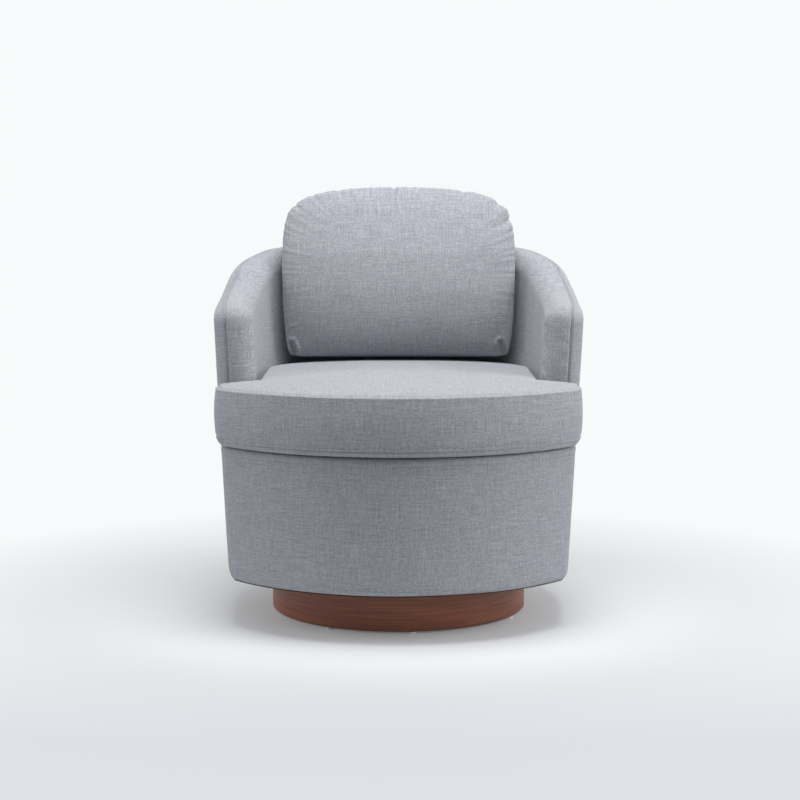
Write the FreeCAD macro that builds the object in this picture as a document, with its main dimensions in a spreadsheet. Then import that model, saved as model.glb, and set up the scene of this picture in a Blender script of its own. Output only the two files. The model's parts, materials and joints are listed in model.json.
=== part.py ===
import FreeCAD, Part
import math
import os
import Sketcher
from FreeCAD import Placement, Rotation, Vector

# Swivel barrel chair: a round wooden plinth, a ball-bearing swivel, an upholstered
# barrel body with a T-shaped seat cushion and a loose back cushion.
# Millimetres. The origin is on the swivel axis at the floor, +Z is up, and the
# chair faces -Y.

os.makedirs("parts", exist_ok=True)
doc = FreeCAD.newDocument("swivel_barrel_chair")

# Driving dimensions

sizeValues = {
    # Barrel body in plan, as it would be at reference_level
    "back_radius": 362,
    "back_centre": 20,
    "corner_x": 288,
    "corner_y": -188,
    "corner_radius": 55,
    "front_reach": -380,
    "reference_level": 596,
    "taper": 0.05,
    # Heights of the body
    "body_low": 92,
    "deck_level": 346,
    "deck_seam": 334,
    "deck_edge_round": 12,
    "nose_front": -150,
    "nose_height": 605,
    # Top line of the arms and back: a point and slope of each straight stretch
    "arm_slope": 0.05,
    "rise_y": 105,
    "rise_height": 652,
    "rise_slope": 0.8,
    "back_y": 195,
    "back_height": 699,
    "back_slope": 0.32,
    "crest_height": 718,
    "rise_round": 110,
    "shoulder_round": 150,
    "crest_round": 300,
    # Wall build-up, from the outer face inwards
    "wall_thick": 75,
    "wall_round": 36,
    "cover_thick": 2,
    "cover_gap": 0.3,
    "outer_padding": 5.7,
    "panel_thick": 3.7,
    "post_depth": 29.5,
    "rail_drop": 34,
    "rail_high": 18,
    "post_width": 45,
    "post_deep": 27,
    "side_seam": -192,
    "panel_gap": 0.5,
    # Frame boards
    "board_thick": 18,
    "board_inset": 12.4,
    "seat_board_low": 296,
    "window_radius": 40,
    "window_place": 150,
    "spring_half_width": 215,
    "spring_front": -213,
    "spring_back": 196,
    # Springs and deck
    "spring_wire": 1.8,
    "spring_lift": 3.6,
    "spring_pitch": 80,
    "spring_loop": 12,
    "spring_run": 24,
    "tie_wire": 1.2,
    "clip_wall": 2,
    "clip_width": 34,
    "clip_tail": 15,
    "deck_cloth_thick": 0.8,
    "staple_circle": 300,
    # Plinth
    "plinth_radius": 252,
    "plinth_wall": 16,
    "plinth_low": 4,
    "plinth_high": 76,
    "plinth_edge": 2,
    "block_long": 35,
    "block_wide": 34,
    "block_high": 48,
    "block_gap": 1.2,
    "board_hole": 32,
    "glide_radius": 9,
    "nail_radius": 1.3,
    "nail_long": 19,
    "nail_head": 2.9,
    "nail_head_thick": 1,
    "nail_sink": 0.6,
    # Swivel
    "plate_radius": 118,
    "plate_thick": 2.5,
    "race_radius": 90,
    "race_half_width": 8,
    "race_gap": 3,
    "ball_radius": 4.5,
    "ball_clearance": 0.05,
    "cage_half_thick": 0.6,
    "cage_half_width": 6.5,
    "spindle_radius": 12,
    "spindle_clearance": 0.08,
    "collar_radius": 20,
    "collar_rise": 4,
    "neck_depth": 2,
    "ring_drop": 1.6,
    "ring_groove": 1.3,
    "ring_thick": 1.1,
    "ring_wide": 4,
    "ring_play": 0.05,
    "spindle_end": 4,
    "screw_circle": 107,
    "screw_radius": 2.2,
    "screw_head": 4.5,
    "screw_head_thick": 2.5,
    "screw_sink": 3,
    "screw_bite": 26,
    "bolt_radius": 3,
    "bolt_head": 6,
    "bolt_head_thick": 3,
    "bolt_proud": 4,
    "tee_flange_radius": 9,
    "tee_flange": 1.5,
    "tee_barrel_radius": 4.5,
    "tee_barrel": 10,
    # Seat cushion
    "seat_low": 347,
    "seat_edge": 456,
    "seat_crown": 485,
    "seat_gap": 2,
    "cushion_cover": 1.6,
    # Back cushion
    "pillow_low": 484.2,
    "pillow_high": 841,
    "pillow_half_width": 243,
    "pillow_seam": 150,
    "pillow_front": 112,
    "pillow_back": 292,
    "pillow_fill_room": 2.4,
}

swivelScrewCount = 6
boltCount = 4
ballCount = 24
blockCount = 6
stapleCount = 24
glideAngles = [-78, -32, 6, 61, 119, 177, 235]  # seen from above, from the front
springColumns = [-2, -1, 0, 1, 2]
tieWireRows = [-75, 75]
# Posts between the two boards: behind the bow, at the corners, sides and back
lowerPosts = [(-110, -300), (110, -300), (-262, -170), (262, -170),
              (-285, 20), (285, 20), (-120, 276), (120, 276)]
wallPostAngles = [0, 55, 90, 125, 180]

sheet = doc.addObject("Spreadsheet::Sheet", "sizes")
for row, (alias, value) in enumerate(sizeValues.items(), 1):
    sheet.set(f"A{row}", alias.replace("_", " "))
    sheet.set(f"B{row}", str(value))
    sheet.setAlias(f"B{row}", alias)
doc.recompute()


class Size:
    # A number with the formula that the sheet recomputes it from.
    def __init__(self, value, formula):
        self.value = float(value)
        self.formula = formula

    def join(self, other, sign, value):
        formula = other.formula if isinstance(other, Size) else f"{other}"
        return Size(value, f"({self.formula} {sign} {formula})")

    def __add__(self, other):
        return self.join(other, "+", self.value + number(other))

    def __sub__(self, other):
        return self.join(other, "-", self.value - number(other))

    def __mul__(self, other):
        return self.join(other, "*", self.value * number(other))

    def __truediv__(self, other):
        return self.join(other, "/", self.value / number(other))

    def __neg__(self):
        return Size(-self.value, f"(0 - {self.formula})")

    __radd__ = __add__
    __rmul__ = __mul__


def number(item):
    return item.value if isinstance(item, Size) else float(item)


def plain(value):
    return Size(value, f"{value}")


def size(alias):
    return Size(sheet.get(alias), f"sizes.{alias}")


def bind(item, prop, value):
    if isinstance(value, Size):
        item.setExpression(prop, value.formula)


# Levels and radii that several pieces share

backRadius = size("back_radius")
backCentre = size("back_centre")
cornerX = size("corner_x")
cornerY = size("corner_y")
cornerRadius = size("corner_radius")
taper = size("taper")
bodyLow = size("body_low")
cover = size("cover_thick")
gap = size("cover_gap")
board = size("board_thick")
frameTop = bodyLow + board
seatBoardLow = size("seat_board_low")
seatBoardTop = seatBoardLow + board
plinthHigh = size("plinth_high")
plinthInner = size("plinth_radius") - size("plinth_wall")
plate = size("plate_thick")
raceMid = (plinthHigh + bodyLow) / 2
raceRadius = size("race_radius")
ball = size("ball_radius")
springLevel = seatBoardTop + size("spring_lift")
tieLevel = springLevel + size("spring_wire") + size("tie_wire")
deckClothLow = tieLevel + size("tie_wire") + 0.3
deckPadLow = deckClothLow + size("deck_cloth_thick") + 0.2

# Wall layers as insets from the outer face
paddingIn = cover + gap
panelOut = paddingIn + size("outer_padding") + gap
panelIn = panelOut + size("panel_thick")
postOut = panelIn + gap
postIn = postOut + size("post_depth")
innerPanelOut = postIn + gap
innerPanelIn = innerPanelOut + size("panel_thick")

# The side of the body is an arc that meets the back arc and the corner smoothly,
# and the front is a bow that meets both corners.
cornerDx = cornerX - backRadius
cornerDy = cornerY - backCentre
sideRadius = (cornerRadius * cornerRadius - cornerDx * cornerDx - cornerDy * cornerDy)
sideRadius = sideRadius / (2 * (cornerDx + cornerRadius))
frontDy = cornerY - size("front_reach")
bowRadius = (cornerX * cornerX + frontDy * frontDy - cornerRadius * cornerRadius)
bowRadius = bowRadius / (2 * (frontDy - cornerRadius))
sideCentreX = backRadius - sideRadius
bowCentreY = size("front_reach") + bowRadius

nodes = {}


def keep(name, item):
    item.Label = name
    nodes[name] = item
    return item


# Sketch helpers


def newBody(name, several=False):
    body = doc.addObject("PartDesign::Body", name)
    body.AllowCompound = several
    return body


def newSketch(body, name, plane="XY_Plane", lift=None):
    sketch = body.newObject("Sketcher::SketchObject", name)
    origin = [item for item in body.Origin.OriginFeatures if item.Role == plane][0]
    sketch.AttachmentSupport = [(origin, "")]
    sketch.MapMode = "FlatFace"
    if lift is not None:
        sketch.AttachmentOffset = Placement(Vector(0, 0, lift.value), Rotation())
        bind(sketch, "AttachmentOffset.Base.z", lift)
    return sketch


def fix(sketch, kind, *places, value):
    if abs(number(value)) < 1e-9 and kind != "Radius":
        axis = -2 if kind == "DistanceX" else -1
        sketch.addConstraint(Sketcher.Constraint("PointOnObject", places[2], places[3], axis))
        return
    index = sketch.addConstraint(Sketcher.Constraint(kind, *places, number(value)))
    bind(sketch, f"Constraints[{index}]", value)


def fixPoint(sketch, edge, end, x, y):
    fix(sketch, "DistanceX", -1, 1, edge, end, value=x)
    fix(sketch, "DistanceY", -1, 1, edge, end, value=y)


def drawCircle(sketch, x, y, radius):
    middle = Vector(number(x), number(y), 0)
    edge = sketch.addGeometry(Part.Circle(middle, Vector(0, 0, 1), number(radius)), False)
    fixPoint(sketch, edge, 3, x, y)
    fix(sketch, "Radius", edge, value=radius)


def drawOutline(sketch, points, bulges=None):
    # A closed outline, straight between points or an arc of the given radius.
    first = None
    count = len(points)
    flat = [Vector(number(x), number(y), 0) for x, y in points]
    for index in range(count):
        start = flat[index]
        end = flat[(index + 1) % count]
        bulge = bulges[index] if bulges else None
        if bulge is None:
            curve = Part.LineSegment(start, end)
        else:
            curve = shortArc(start, end, number(bulge))
        edge = sketch.addGeometry(curve, False)
        first = edge if first is None else first
        if bulge is not None:
            fix(sketch, "Radius", edge, value=bulge)
    for index in range(count):
        edge = first + index
        before = first + (index - 1) % count
        sketch.addConstraint(Sketcher.Constraint("Coincident", before, 2, edge, 1))
        fixPoint(sketch, edge, 1, *points[index])


def shortArc(start, end, radius):
    # Counter-clockwise arc of under a half circle from start to end.
    half = (end - start) * 0.5
    reach = math.sqrt(max(radius * radius - half.Length ** 2, 0))
    side = Vector(-half.y, half.x, 0)
    side.normalize()
    middle = start + half + side * reach
    startAngle = math.atan2(start.y - middle.y, start.x - middle.x)
    endAngle = math.atan2(end.y - middle.y, end.x - middle.x)
    return Part.ArcOfCircle(Part.Circle(middle, Vector(0, 0, 1), radius), startAngle, endAngle)


def drawRectangle(sketch, x0, y0, x1, y1):
    drawOutline(sketch, [(x0, y0), (x1, y0), (x1, y1), (x0, y1)])


def pad(body, sketch, length, name):
    feature = body.newObject("PartDesign::Pad", name)
    feature.Profile = sketch
    feature.Length = length.value
    bind(feature, "Length", length)
    sketch.Visibility = False
    doc.recompute()
    return feature


def pocketThrough(body, sketch, name):
    before = body.Shape.Volume
    feature = body.newObject("PartDesign::Pocket", name)
    feature.Profile = sketch
    feature.Type = 1
    feature.Midplane = True
    doc.recompute()
    if body.Shape.Volume > before - 1:
        raise RuntimeError(f"{name} cuts nothing")
    return feature


def spin(body, sketch, name):
    feature = body.newObject("PartDesign::Revolution", name)
    feature.Profile = sketch
    feature.ReferenceAxis = (sketch, ["V_Axis"])
    feature.Angle = 360
    doc.recompute()
    return feature


def repeatRound(body, feature, count, name):
    axis = [item for item in body.Origin.OriginFeatures if item.Role == "Z_Axis"][0]
    pattern = body.newObject("PartDesign::PolarPattern", name)
    pattern.Originals = [feature]
    pattern.Axis = (axis, [""])
    pattern.Angle = 360
    pattern.Occurrences = count
    body.Tip = pattern
    doc.recompute()
    return pattern


# Primitive helpers


def place(item, x, y, z):
    item.Placement = Placement(Vector(number(x), number(y), number(z)), Rotation())
    bind(item, "Placement.Base.x", x)
    bind(item, "Placement.Base.y", y)
    bind(item, "Placement.Base.z", z)


def peg(name, radius, x, y, low, high):
    item = doc.addObject("Part::Cylinder", name)
    item.Radius = number(radius)
    bind(item, "Radius", radius)
    item.Height = number(high) - number(low)
    bind(item, "Height", high - low)
    place(item, x, y, low)
    return item


def fuse(name, items):
    joined = doc.addObject("Part::MultiFuse", name)
    joined.Shapes = items
    return joined


def cut(name, base, tool):
    result = doc.addObject("Part::Cut", name)
    result.Base = base
    result.Tool = tool
    return result


def group(name, items):
    bunch = doc.addObject("Part::Compound", name)
    bunch.Links = items
    return bunch


def around(radius, angle):
    # A point on a circle about the swivel axis. The angle is from the front.
    turn = math.radians(angle)
    return radius * round(math.sin(turn), 6), radius * round(-math.cos(turn), 6)


def fasteners(name, places, shank, head, low, shoulder, high, headBelow):
    # A row of headed pegs, each fused into one solid.
    pieces = []
    for index, (x, y) in enumerate(places):
        lowest = low if not headBelow else shoulder
        highest = shoulder if not headBelow else high
        pieces.append(peg(f"{name}_shank_{index}", shank, x, y, lowest, highest))
        headLow = shoulder if not headBelow else low
        headHigh = high if not headBelow else shoulder
        pieces.append(peg(f"{name}_head_{index}", head, x, y, headLow, headHigh))
    return fuse(name, pieces)


# Solids of the barrel body, from arcs and lines


def unit(vector):
    result = Vector(vector)
    result.normalize()
    return result


def mirrored(vector):
    return Vector(-vector.x, vector.y, vector.z)


def arcAbout(centre, radius, first, last):
    middle = unit(first + last)
    return Part.Arc(centre + first * radius, centre + middle * radius, centre + last * radius).toShape()


def atLevel(edges, level):
    wire = Part.Wire(Part.__sortEdges__(edges))
    wire.translate(Vector(0, 0, level))
    return wire


axisX = Vector(1, 0, 0)
axisY = Vector(0, 1, 0)
backMiddle = Vector(0, backCentre.value, 0)
sideMiddle = Vector(sideCentreX.value, backCentre.value, 0)
bowMiddle = Vector(0, bowCentreY.value, 0)
cornerMiddle = Vector(cornerX.value, cornerY.value, 0)


def drawnIn(level):
    # How far the tapered wall has come in at a level.
    return taper.value * (sheet.get("reference_level") - level)


def backEdges(radius):
    diagonal = [arcAbout(backMiddle, radius, axisX, axisY)]
    diagonal.append(arcAbout(backMiddle, radius, axisY, -axisX))
    return diagonal


def bodyPlan(inset, level):
    # The whole plan: back, sides, corners and bowed front.
    depth = inset + drawnIn(level)
    toSide = unit(cornerMiddle - sideMiddle)
    toBow = unit(cornerMiddle - bowMiddle)
    side = sideRadius.value - depth
    corner = cornerRadius.value - depth
    edges = backEdges(backRadius.value - depth)
    edges.append(arcAbout(sideMiddle, side, toSide, axisX))
    edges.append(arcAbout(mirrored(sideMiddle), side, -axisX, mirrored(toSide)))
    edges.append(arcAbout(cornerMiddle, corner, toBow, toSide))
    edges.append(arcAbout(mirrored(cornerMiddle), corner, mirrored(toSide), mirrored(toBow)))
    bow = bowRadius.value - depth
    edges.append(arcAbout(bowMiddle, bow, mirrored(toBow), -axisY))
    edges.append(arcAbout(bowMiddle, bow, -axisY, toBow))
    return atLevel(edges, level)


def barrelPlan(inset, level, front):
    # Back and sides only, closed by a straight line at the front.
    depth = inset + drawnIn(level)
    side = sideRadius.value - depth
    rise = (front - backCentre.value) / side
    toFront = Vector(math.sqrt(1 - rise * rise), rise, 0)
    edges = backEdges(backRadius.value - depth)
    edges.append(arcAbout(sideMiddle, side, toFront, axisX))
    edges.append(arcAbout(mirrored(sideMiddle), side, -axisX, mirrored(toFront)))
    corner = sideMiddle + toFront * side
    edges.append(Part.makeLine(mirrored(corner), corner))
    return atLevel(edges, level)


def wallPlan(inset, level):
    # The arms and back as a horseshoe with round noses.
    thick = sheet.get("wall_thick")
    out = inset + drawnIn(level)
    back = thick + drawnIn(level) - inset
    middle = thick / 2 + drawnIn(level)
    noseY = sheet.get("nose_front") + thick / 2
    rise = (noseY - backCentre.value) / (sideRadius.value - thick / 2)
    across = Vector(math.sqrt(1 - rise * rise), rise, 0)
    ahead = Vector(rise, -across.x, 0)
    nose = sideMiddle + across * (sideRadius.value - middle)
    noseRadius = thick / 2 - inset
    edges = backEdges(backRadius.value - out) + backEdges(backRadius.value - back)
    for depth in (out, back):
        side = sideRadius.value - depth
        edges.append(arcAbout(sideMiddle, side, across, axisX))
        edges.append(arcAbout(mirrored(sideMiddle), side, -axisX, mirrored(across)))
    for first, last in ((-across, ahead), (ahead, across)):
        edges.append(arcAbout(nose, noseRadius, first, last))
        edges.append(arcAbout(mirrored(nose), noseRadius, mirrored(first), mirrored(last)))
    return atLevel(edges, level)


def between(plan, low, high):
    return Part.makeLoft([plan(low), plan(high)], True, True)


# Reach of the cutting solids
wallTop = 790
farAway = 500
beyond = 20
clearance = 0.5
dustMargin = 6


def crestCorner(start, along, nextStart, nextAlong):
    # Where two stretches of the top line meet.
    gapY = nextStart.y - start.y
    gapZ = nextStart.z - start.z
    reach = (gapY * nextAlong.z - gapZ * nextAlong.y) / (along.y * nextAlong.z - along.z * nextAlong.y)
    return start + along * reach


def aboveCrest(drop):
    # Everything above the top line of the arms and back, lowered by drop. The line
    # is straight stretches joined by arcs: the first arc is hollow, the others full.
    stretches = []
    for y, z, slope in (("nose_front", "nose_height", sheet.get("arm_slope")),
                        ("rise_y", "rise_height", sheet.get("rise_slope")),
                        ("back_y", "back_height", sheet.get("back_slope")),
                        ("back_y", "crest_height", 0)):
        along = unit(Vector(0, 1, slope))
        up = Vector(0, -along.z, along.y)
        stretches.append((Vector(-farAway, sheet.get(y), sheet.get(z)) - up * drop, along))
    rounds = [sheet.get("rise_round") + drop, sheet.get("shoulder_round") - drop,
              sheet.get("crest_round") - drop]
    spot = stretches[0][0] - stretches[0][1] * farAway
    begin = spot
    edges = []
    for (start, along), (nextStart, nextAlong), radius in zip(stretches, stretches[1:], rounds):
        corner = crestCorner(start, along, nextStart, nextAlong)
        half = along.getAngle(nextAlong) / 2
        first = corner - along * (radius * math.tan(half))
        last = corner + nextAlong * (radius * math.tan(half))
        middle = corner + unit(nextAlong - along) * (radius / math.cos(half) - radius)
        edges.append(Part.makeLine(spot, first))
        edges.append(Part.Arc(first, middle, last).toShape())
        spot = last
    end = Vector(-farAway, farAway, spot.z)
    top = wallTop + 10
    corners = [spot, end, Vector(-farAway, farAway, top), Vector(-farAway, begin.y, top), begin]
    for before, after in zip(corners, corners[1:]):
        edges.append(Part.makeLine(before, after))
    return Part.Face(Part.Wire(edges)).extrude(Vector(2 * farAway, 0, 0))


def rimEdges(solid, low):
    # Edges between an upward face and a standing face.
    found = []
    for edge in solid.Edges:
        if edge.BoundBox.ZMin < low:
            continue
        rises = []
        for face in solid.ancestorsOfType(edge, Part.Face):
            u0, u1, v0, v1 = face.ParameterRange
            rises.append(face.normalAt((u0 + u1) / 2, (v0 + v1) / 2).z)
        if len(rises) == 2 and max(rises) > 0.7 and min(rises) < 0.5:
            found.append(edge)
    return found


def oneSolid(shape):
    if len(shape.Solids) != 1:
        raise RuntimeError(f"{len(shape.Solids)} solids where one is expected")
    return shape.Solids[0]


def wall(inset, low):
    # Rounded arms and back: the horseshoe up to the crest, with a soft top edge.
    block = between(lambda level: wallPlan(inset, level), low, wallTop)
    block = oneSolid(block.cut(aboveCrest(inset)))
    rim = rimEdges(block, sheet.get("deck_level") + 100)
    return oneSolid(block.makeFillet(sheet.get("wall_round") - inset, rim))


def lowerBody(inset, low):
    # The drum under the seat, with a soft edge round its top.
    top = sheet.get("deck_level") - inset
    block = between(lambda level: bodyPlan(inset, level), low, top)
    return oneSolid(block.makeFillet(sheet.get("deck_edge_round") - inset, rimEdges(block, top - 1)))


def barrel(inset, low, high, front):
    return between(lambda level: barrelPlan(inset, level, front), low, high)


def drum(inset, low, high):
    return between(lambda level: bodyPlan(inset, level), low, high)


def slab(x0, x1, y0, y1, z0, z1):
    return Part.makeBox(x1 - x0, y1 - y0, z1 - z0, Vector(x0, y0, z0))


def shaped(name, shape):
    item = doc.addObject("Part::Feature", name)
    item.Shape = shape
    item.Placement = Placement(Vector(0, 0, 0), Rotation())
    return keep(name, item)


# Plinth


def makePlinth():
    low = size("plinth_low")
    edge = size("plinth_edge")
    outer = size("plinth_radius")
    body = newBody("plinth_ring_blank")
    sketch = newSketch(body, "plinth_ring_section", "XZ_Plane")
    drawOutline(sketch, [
        (plinthInner, low), (outer - edge, low), (outer, low + edge),
        (outer, plinthHigh - edge), (outer - edge, plinthHigh), (plinthInner, plinthHigh)])
    spin(body, sketch, "plinth_ring_turn")

    glideCircle = outer - size("plinth_wall") / 2
    places = [around(glideCircle, angle) for angle in glideAngles]
    zero = plain(0)
    headTop = low - size("nail_sink")
    headLow = headTop - size("nail_head_thick")
    nails = fasteners("glide_nails", places, size("nail_radius"), size("nail_head"),
                      headLow, headTop, low + size("nail_long"), True)
    keep("glide_nails", nails)
    caps = []
    for index, (x, y) in enumerate(places):
        foot = peg(f"glide_foot_{index}", size("glide_radius") - 1, x, y, zero, low / 2)
        flange = peg(f"glide_flange_{index}", size("glide_radius"), x, y, low / 2, low)
        caps += [foot, flange]
    keep("glides", cut("glides", fuse("glide_blanks", caps), nails))
    keep("plinth_ring", cut("plinth_ring", body, nails))

    body = newBody("plinth_top_board_blank")
    sketch = newSketch(body, "plinth_top_outline", lift=plinthHigh - board)
    drawCircle(sketch, 0, 0, plinthInner - gap)
    drawCircle(sketch, 0, 0, size("board_hole"))
    pad(body, sketch, board, "plinth_top_pad")
    boardBody = body

    body = newBody("plinth_blocks", several=True)
    blockTop = plinthHigh - board
    sketch = newSketch(body, "plinth_block_outline", lift=blockTop - size("block_high"))
    blockOut = plinthInner - size("block_gap")
    halfWide = size("block_wide") / 2
    drawRectangle(sketch, blockOut - size("block_long"), -halfWide, blockOut, halfWide)
    first = pad(body, sketch, size("block_high"), "plinth_block_pad")
    repeatRound(body, first, blockCount, "plinth_block_ring")
    keep("plinth_blocks", body)
    return boardBody


def makeSwivel(boardBody):
    half = size("race_half_width")
    gapHalf = size("race_gap") / 2
    groove = ball + size("ball_clearance")
    raceOut = raceRadius + half
    raceIn = raceRadius - half
    lowTop = raceMid - gapHalf
    highLow = raceMid + gapHalf
    outer = size("plate_radius")
    collar = size("collar_radius")
    collarTop = plinthHigh + plate + size("collar_rise")
    bore = size("spindle_radius") + size("spindle_clearance")

    places = [around(size("screw_circle"), 360 * index / swivelScrewCount)
              for index in range(swivelScrewCount)]
    top = plinthHigh + plate
    screws = fasteners("lower_plate_screws", places, size("screw_radius"), size("screw_head"),
                       plinthHigh - board + size("screw_sink"), top,
                       top + size("screw_head_thick"), False)
    keep("lower_plate_screws", screws)
    keep("plinth_top_board", cut("plinth_top_board", boardBody, screws))

    body = newBody("swivel_lower_plate_blank")
    sketch = newSketch(body, "lower_plate_section", "XZ_Plane")
    points = [(bore, plinthHigh), (outer, plinthHigh), (outer, top), (raceOut, top),
              (raceOut, lowTop), (raceIn, lowTop), (raceIn, top), (collar, top),
              (collar, collarTop), (bore, collarTop)]
    drawOutline(sketch, points)
    spin(body, sketch, "lower_plate_turn")
    race = newRace("lower_race", groove)
    blank = cut("lower_plate_raced", body, race)
    keep("swivel_lower_plate", cut("swivel_lower_plate", blank, screws))

    boltPlaces = [around(size("screw_circle"), 45 + 360 * index / boltCount)
                  for index in range(boltCount)]
    under = bodyLow - plate
    bolts = fasteners("upper_plate_bolts", boltPlaces, size("bolt_radius"), size("bolt_head"),
                      under - size("bolt_head_thick"), under,
                      frameTop + size("bolt_proud"), True)
    keep("upper_plate_bolts", bolts)
    nuts = []
    for index, (x, y) in enumerate(boltPlaces):
        nuts.append(peg(f"nut_flange_{index}", size("tee_flange_radius"), x, y,
                        frameTop, frameTop + size("tee_flange")))
        nuts.append(peg(f"nut_barrel_{index}", size("tee_barrel_radius"), x, y,
                        frameTop - size("tee_barrel"), frameTop))
    nutBlank = fuse("nut_blanks", nuts)
    keep("upper_plate_nuts", cut("upper_plate_nuts", nutBlank, bolts))

    spindle = size("spindle_radius")
    grooveTop = plinthHigh - size("ring_drop")
    grooveLow = grooveTop - size("ring_groove")
    spindleLow = grooveTop - size("spindle_end")
    body = newBody("swivel_upper_plate_blank")
    sketch = newSketch(body, "upper_plate_section", "XZ_Plane")
    neck = spindle - size("neck_depth")
    drawOutline(sketch, [
        (plain(0), spindleLow), (spindle, spindleLow), (spindle, grooveLow),
        (neck, grooveLow), (neck, grooveTop), (spindle, grooveTop),
        (spindle, under), (raceIn, under), (raceIn, highLow), (raceOut, highLow),
        (raceOut, under), (outer, under), (outer, bodyLow), (plain(0), bodyLow)])
    spin(body, sketch, "upper_plate_turn")
    race = newRace("upper_race", groove)
    blank = cut("upper_plate_raced", body, race)
    keep("swivel_upper_plate", cut("swivel_upper_plate", blank, bolts))

    body = newBody("spindle_ring")
    ringThick = size("ring_thick")
    ringLow = (grooveLow + grooveTop - ringThick) / 2
    sketch = newSketch(body, "spindle_ring_outline", lift=ringLow)
    drawCircle(sketch, 0, 0, spindle + size("ring_wide"))
    drawCircle(sketch, 0, 0, neck + size("ring_play"))
    pad(body, sketch, ringThick, "spindle_ring_pad")
    keep("spindle_ring", body)

    cage = size("cage_half_thick")
    wide = size("cage_half_width")
    body = newBody("ball_cage_ring")
    sketch = newSketch(body, "cage_outline", lift=raceMid - cage)
    drawCircle(sketch, 0, 0, raceRadius + wide)
    drawCircle(sketch, 0, 0, raceRadius - wide)
    pad(body, sketch, cage * 2, "cage_pad")
    sketch = newSketch(body, "cage_hole", lift=raceMid)
    drawCircle(sketch, raceRadius, 0, groove)
    hole = pocketThrough(body, sketch, "cage_pocket")
    repeatRound(body, hole, ballCount, "cage_pockets")
    keep("ball_cage_ring", body)

    body = newBody("bearing_balls", several=True)
    ballShape = body.newObject("PartDesign::AdditiveSphere", "first_ball")
    ballShape.Radius = ball.value
    bind(ballShape, "Radius", ball)
    ballShape.Placement = Placement(Vector(raceRadius.value, 0, raceMid.value), Rotation())
    bind(ballShape, "Placement.Base.x", raceRadius)
    bind(ballShape, "Placement.Base.z", raceMid)
    doc.recompute()
    repeatRound(body, ballShape, ballCount, "ball_ring")
    keep("bearing_balls", body)
    return bolts, nutBlank


def newRace(name, groove):
    race = doc.addObject("Part::Torus", name)
    race.Radius1 = raceRadius.value
    race.Radius2 = groove.value
    bind(race, "Radius1", raceRadius)
    bind(race, "Radius2", groove)
    place(race, 0, 0, raceMid)
    return race


# Frame


def drawPlan(sketch, inset, level):
    # The plan of the body at a level, as arcs whose ends and radii are bound.
    depth = inset + taper * (size("reference_level") - level)
    back = backRadius - depth
    side = sideRadius - depth
    corner = cornerRadius - depth
    bow = bowRadius - depth
    sideReach = sideRadius - cornerRadius
    bowReach = bowRadius - cornerRadius
    sideX = cornerX + corner * (cornerX - sideCentreX) / sideReach
    sideY = cornerY + corner * (cornerY - backCentre) / sideReach
    bowX = cornerX + corner * cornerX / bowReach
    bowY = cornerY + corner * (cornerY - bowCentreY) / bowReach
    points = [(back, backCentre), (plain(0), backCentre + back), (-back, backCentre),
              (-sideX, sideY), (-bowX, bowY), (bowX, bowY), (sideX, sideY)]
    drawOutline(sketch, points, [back, back, side, corner, bow, corner, side])


def makeFrame(bolts, nutBlank):
    postPlaces = [(plain(x), plain(y)) for x, y in lowerPosts]
    low = bodyLow
    sink = size("screw_sink")
    bite = size("screw_bite")
    screwsUp = fasteners("lower_post_screws", postPlaces, size("screw_radius"), size("screw_head"),
                         low, low + sink, frameTop + bite, True)
    keep("lower_post_screws", screwsUp)
    screwsDown = fasteners("seat_board_screws", postPlaces, size("screw_radius"),
                           size("screw_head"), seatBoardLow - bite, seatBoardTop - sink,
                           seatBoardTop, False)
    keep("seat_board_screws", screwsDown)

    staples = makeStaples()
    body = newBody("bottom_board_blank")
    sketch = newSketch(body, "bottom_board_outline", lift=low)
    drawPlan(sketch, size("board_inset"), low)
    pad(body, sketch, board, "bottom_board_pad")
    sketch = newSketch(body, "bottom_board_windows", lift=low)
    spot = size("window_place")
    for x in (-spot, spot):
        for y in (-spot, spot):
            drawCircle(sketch, x, y, size("window_radius"))
    pocketThrough(body, sketch, "bottom_board_window_cut")
    tools = group("bottom_board_bores", [bolts, nutBlank, screwsUp, staples])
    keep("bottom_board", cut("bottom_board", body, tools))

    body = newBody("seat_board_blank")
    sketch = newSketch(body, "seat_board_outline", lift=seatBoardLow)
    drawPlan(sketch, size("board_inset"), seatBoardLow)
    half = size("spring_half_width")
    drawRectangle(sketch, -half, size("spring_front"), half, size("spring_back"))
    pad(body, sketch, board, "seat_board_pad")
    nails = makeSprings()
    tools = group("seat_board_bores", [screwsDown, nails])
    keep("seat_board", cut("seat_board", body, tools))

    body = newBody("lower_posts_blank", several=True)
    sketch = newSketch(body, "lower_post_outlines", lift=frameTop)
    halfWidth = size("post_width") / 2
    halfDeep = size("post_deep") / 2
    for x, y in postPlaces:
        drawRectangle(sketch, x - halfWidth, y - halfDeep, x + halfWidth, y + halfDeep)
    pad(body, sketch, seatBoardLow - frameTop, "lower_posts_pad")
    tools = group("lower_post_bores", [screwsUp, screwsDown])
    keep("lower_posts", cut("lower_posts", body, tools))


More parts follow.
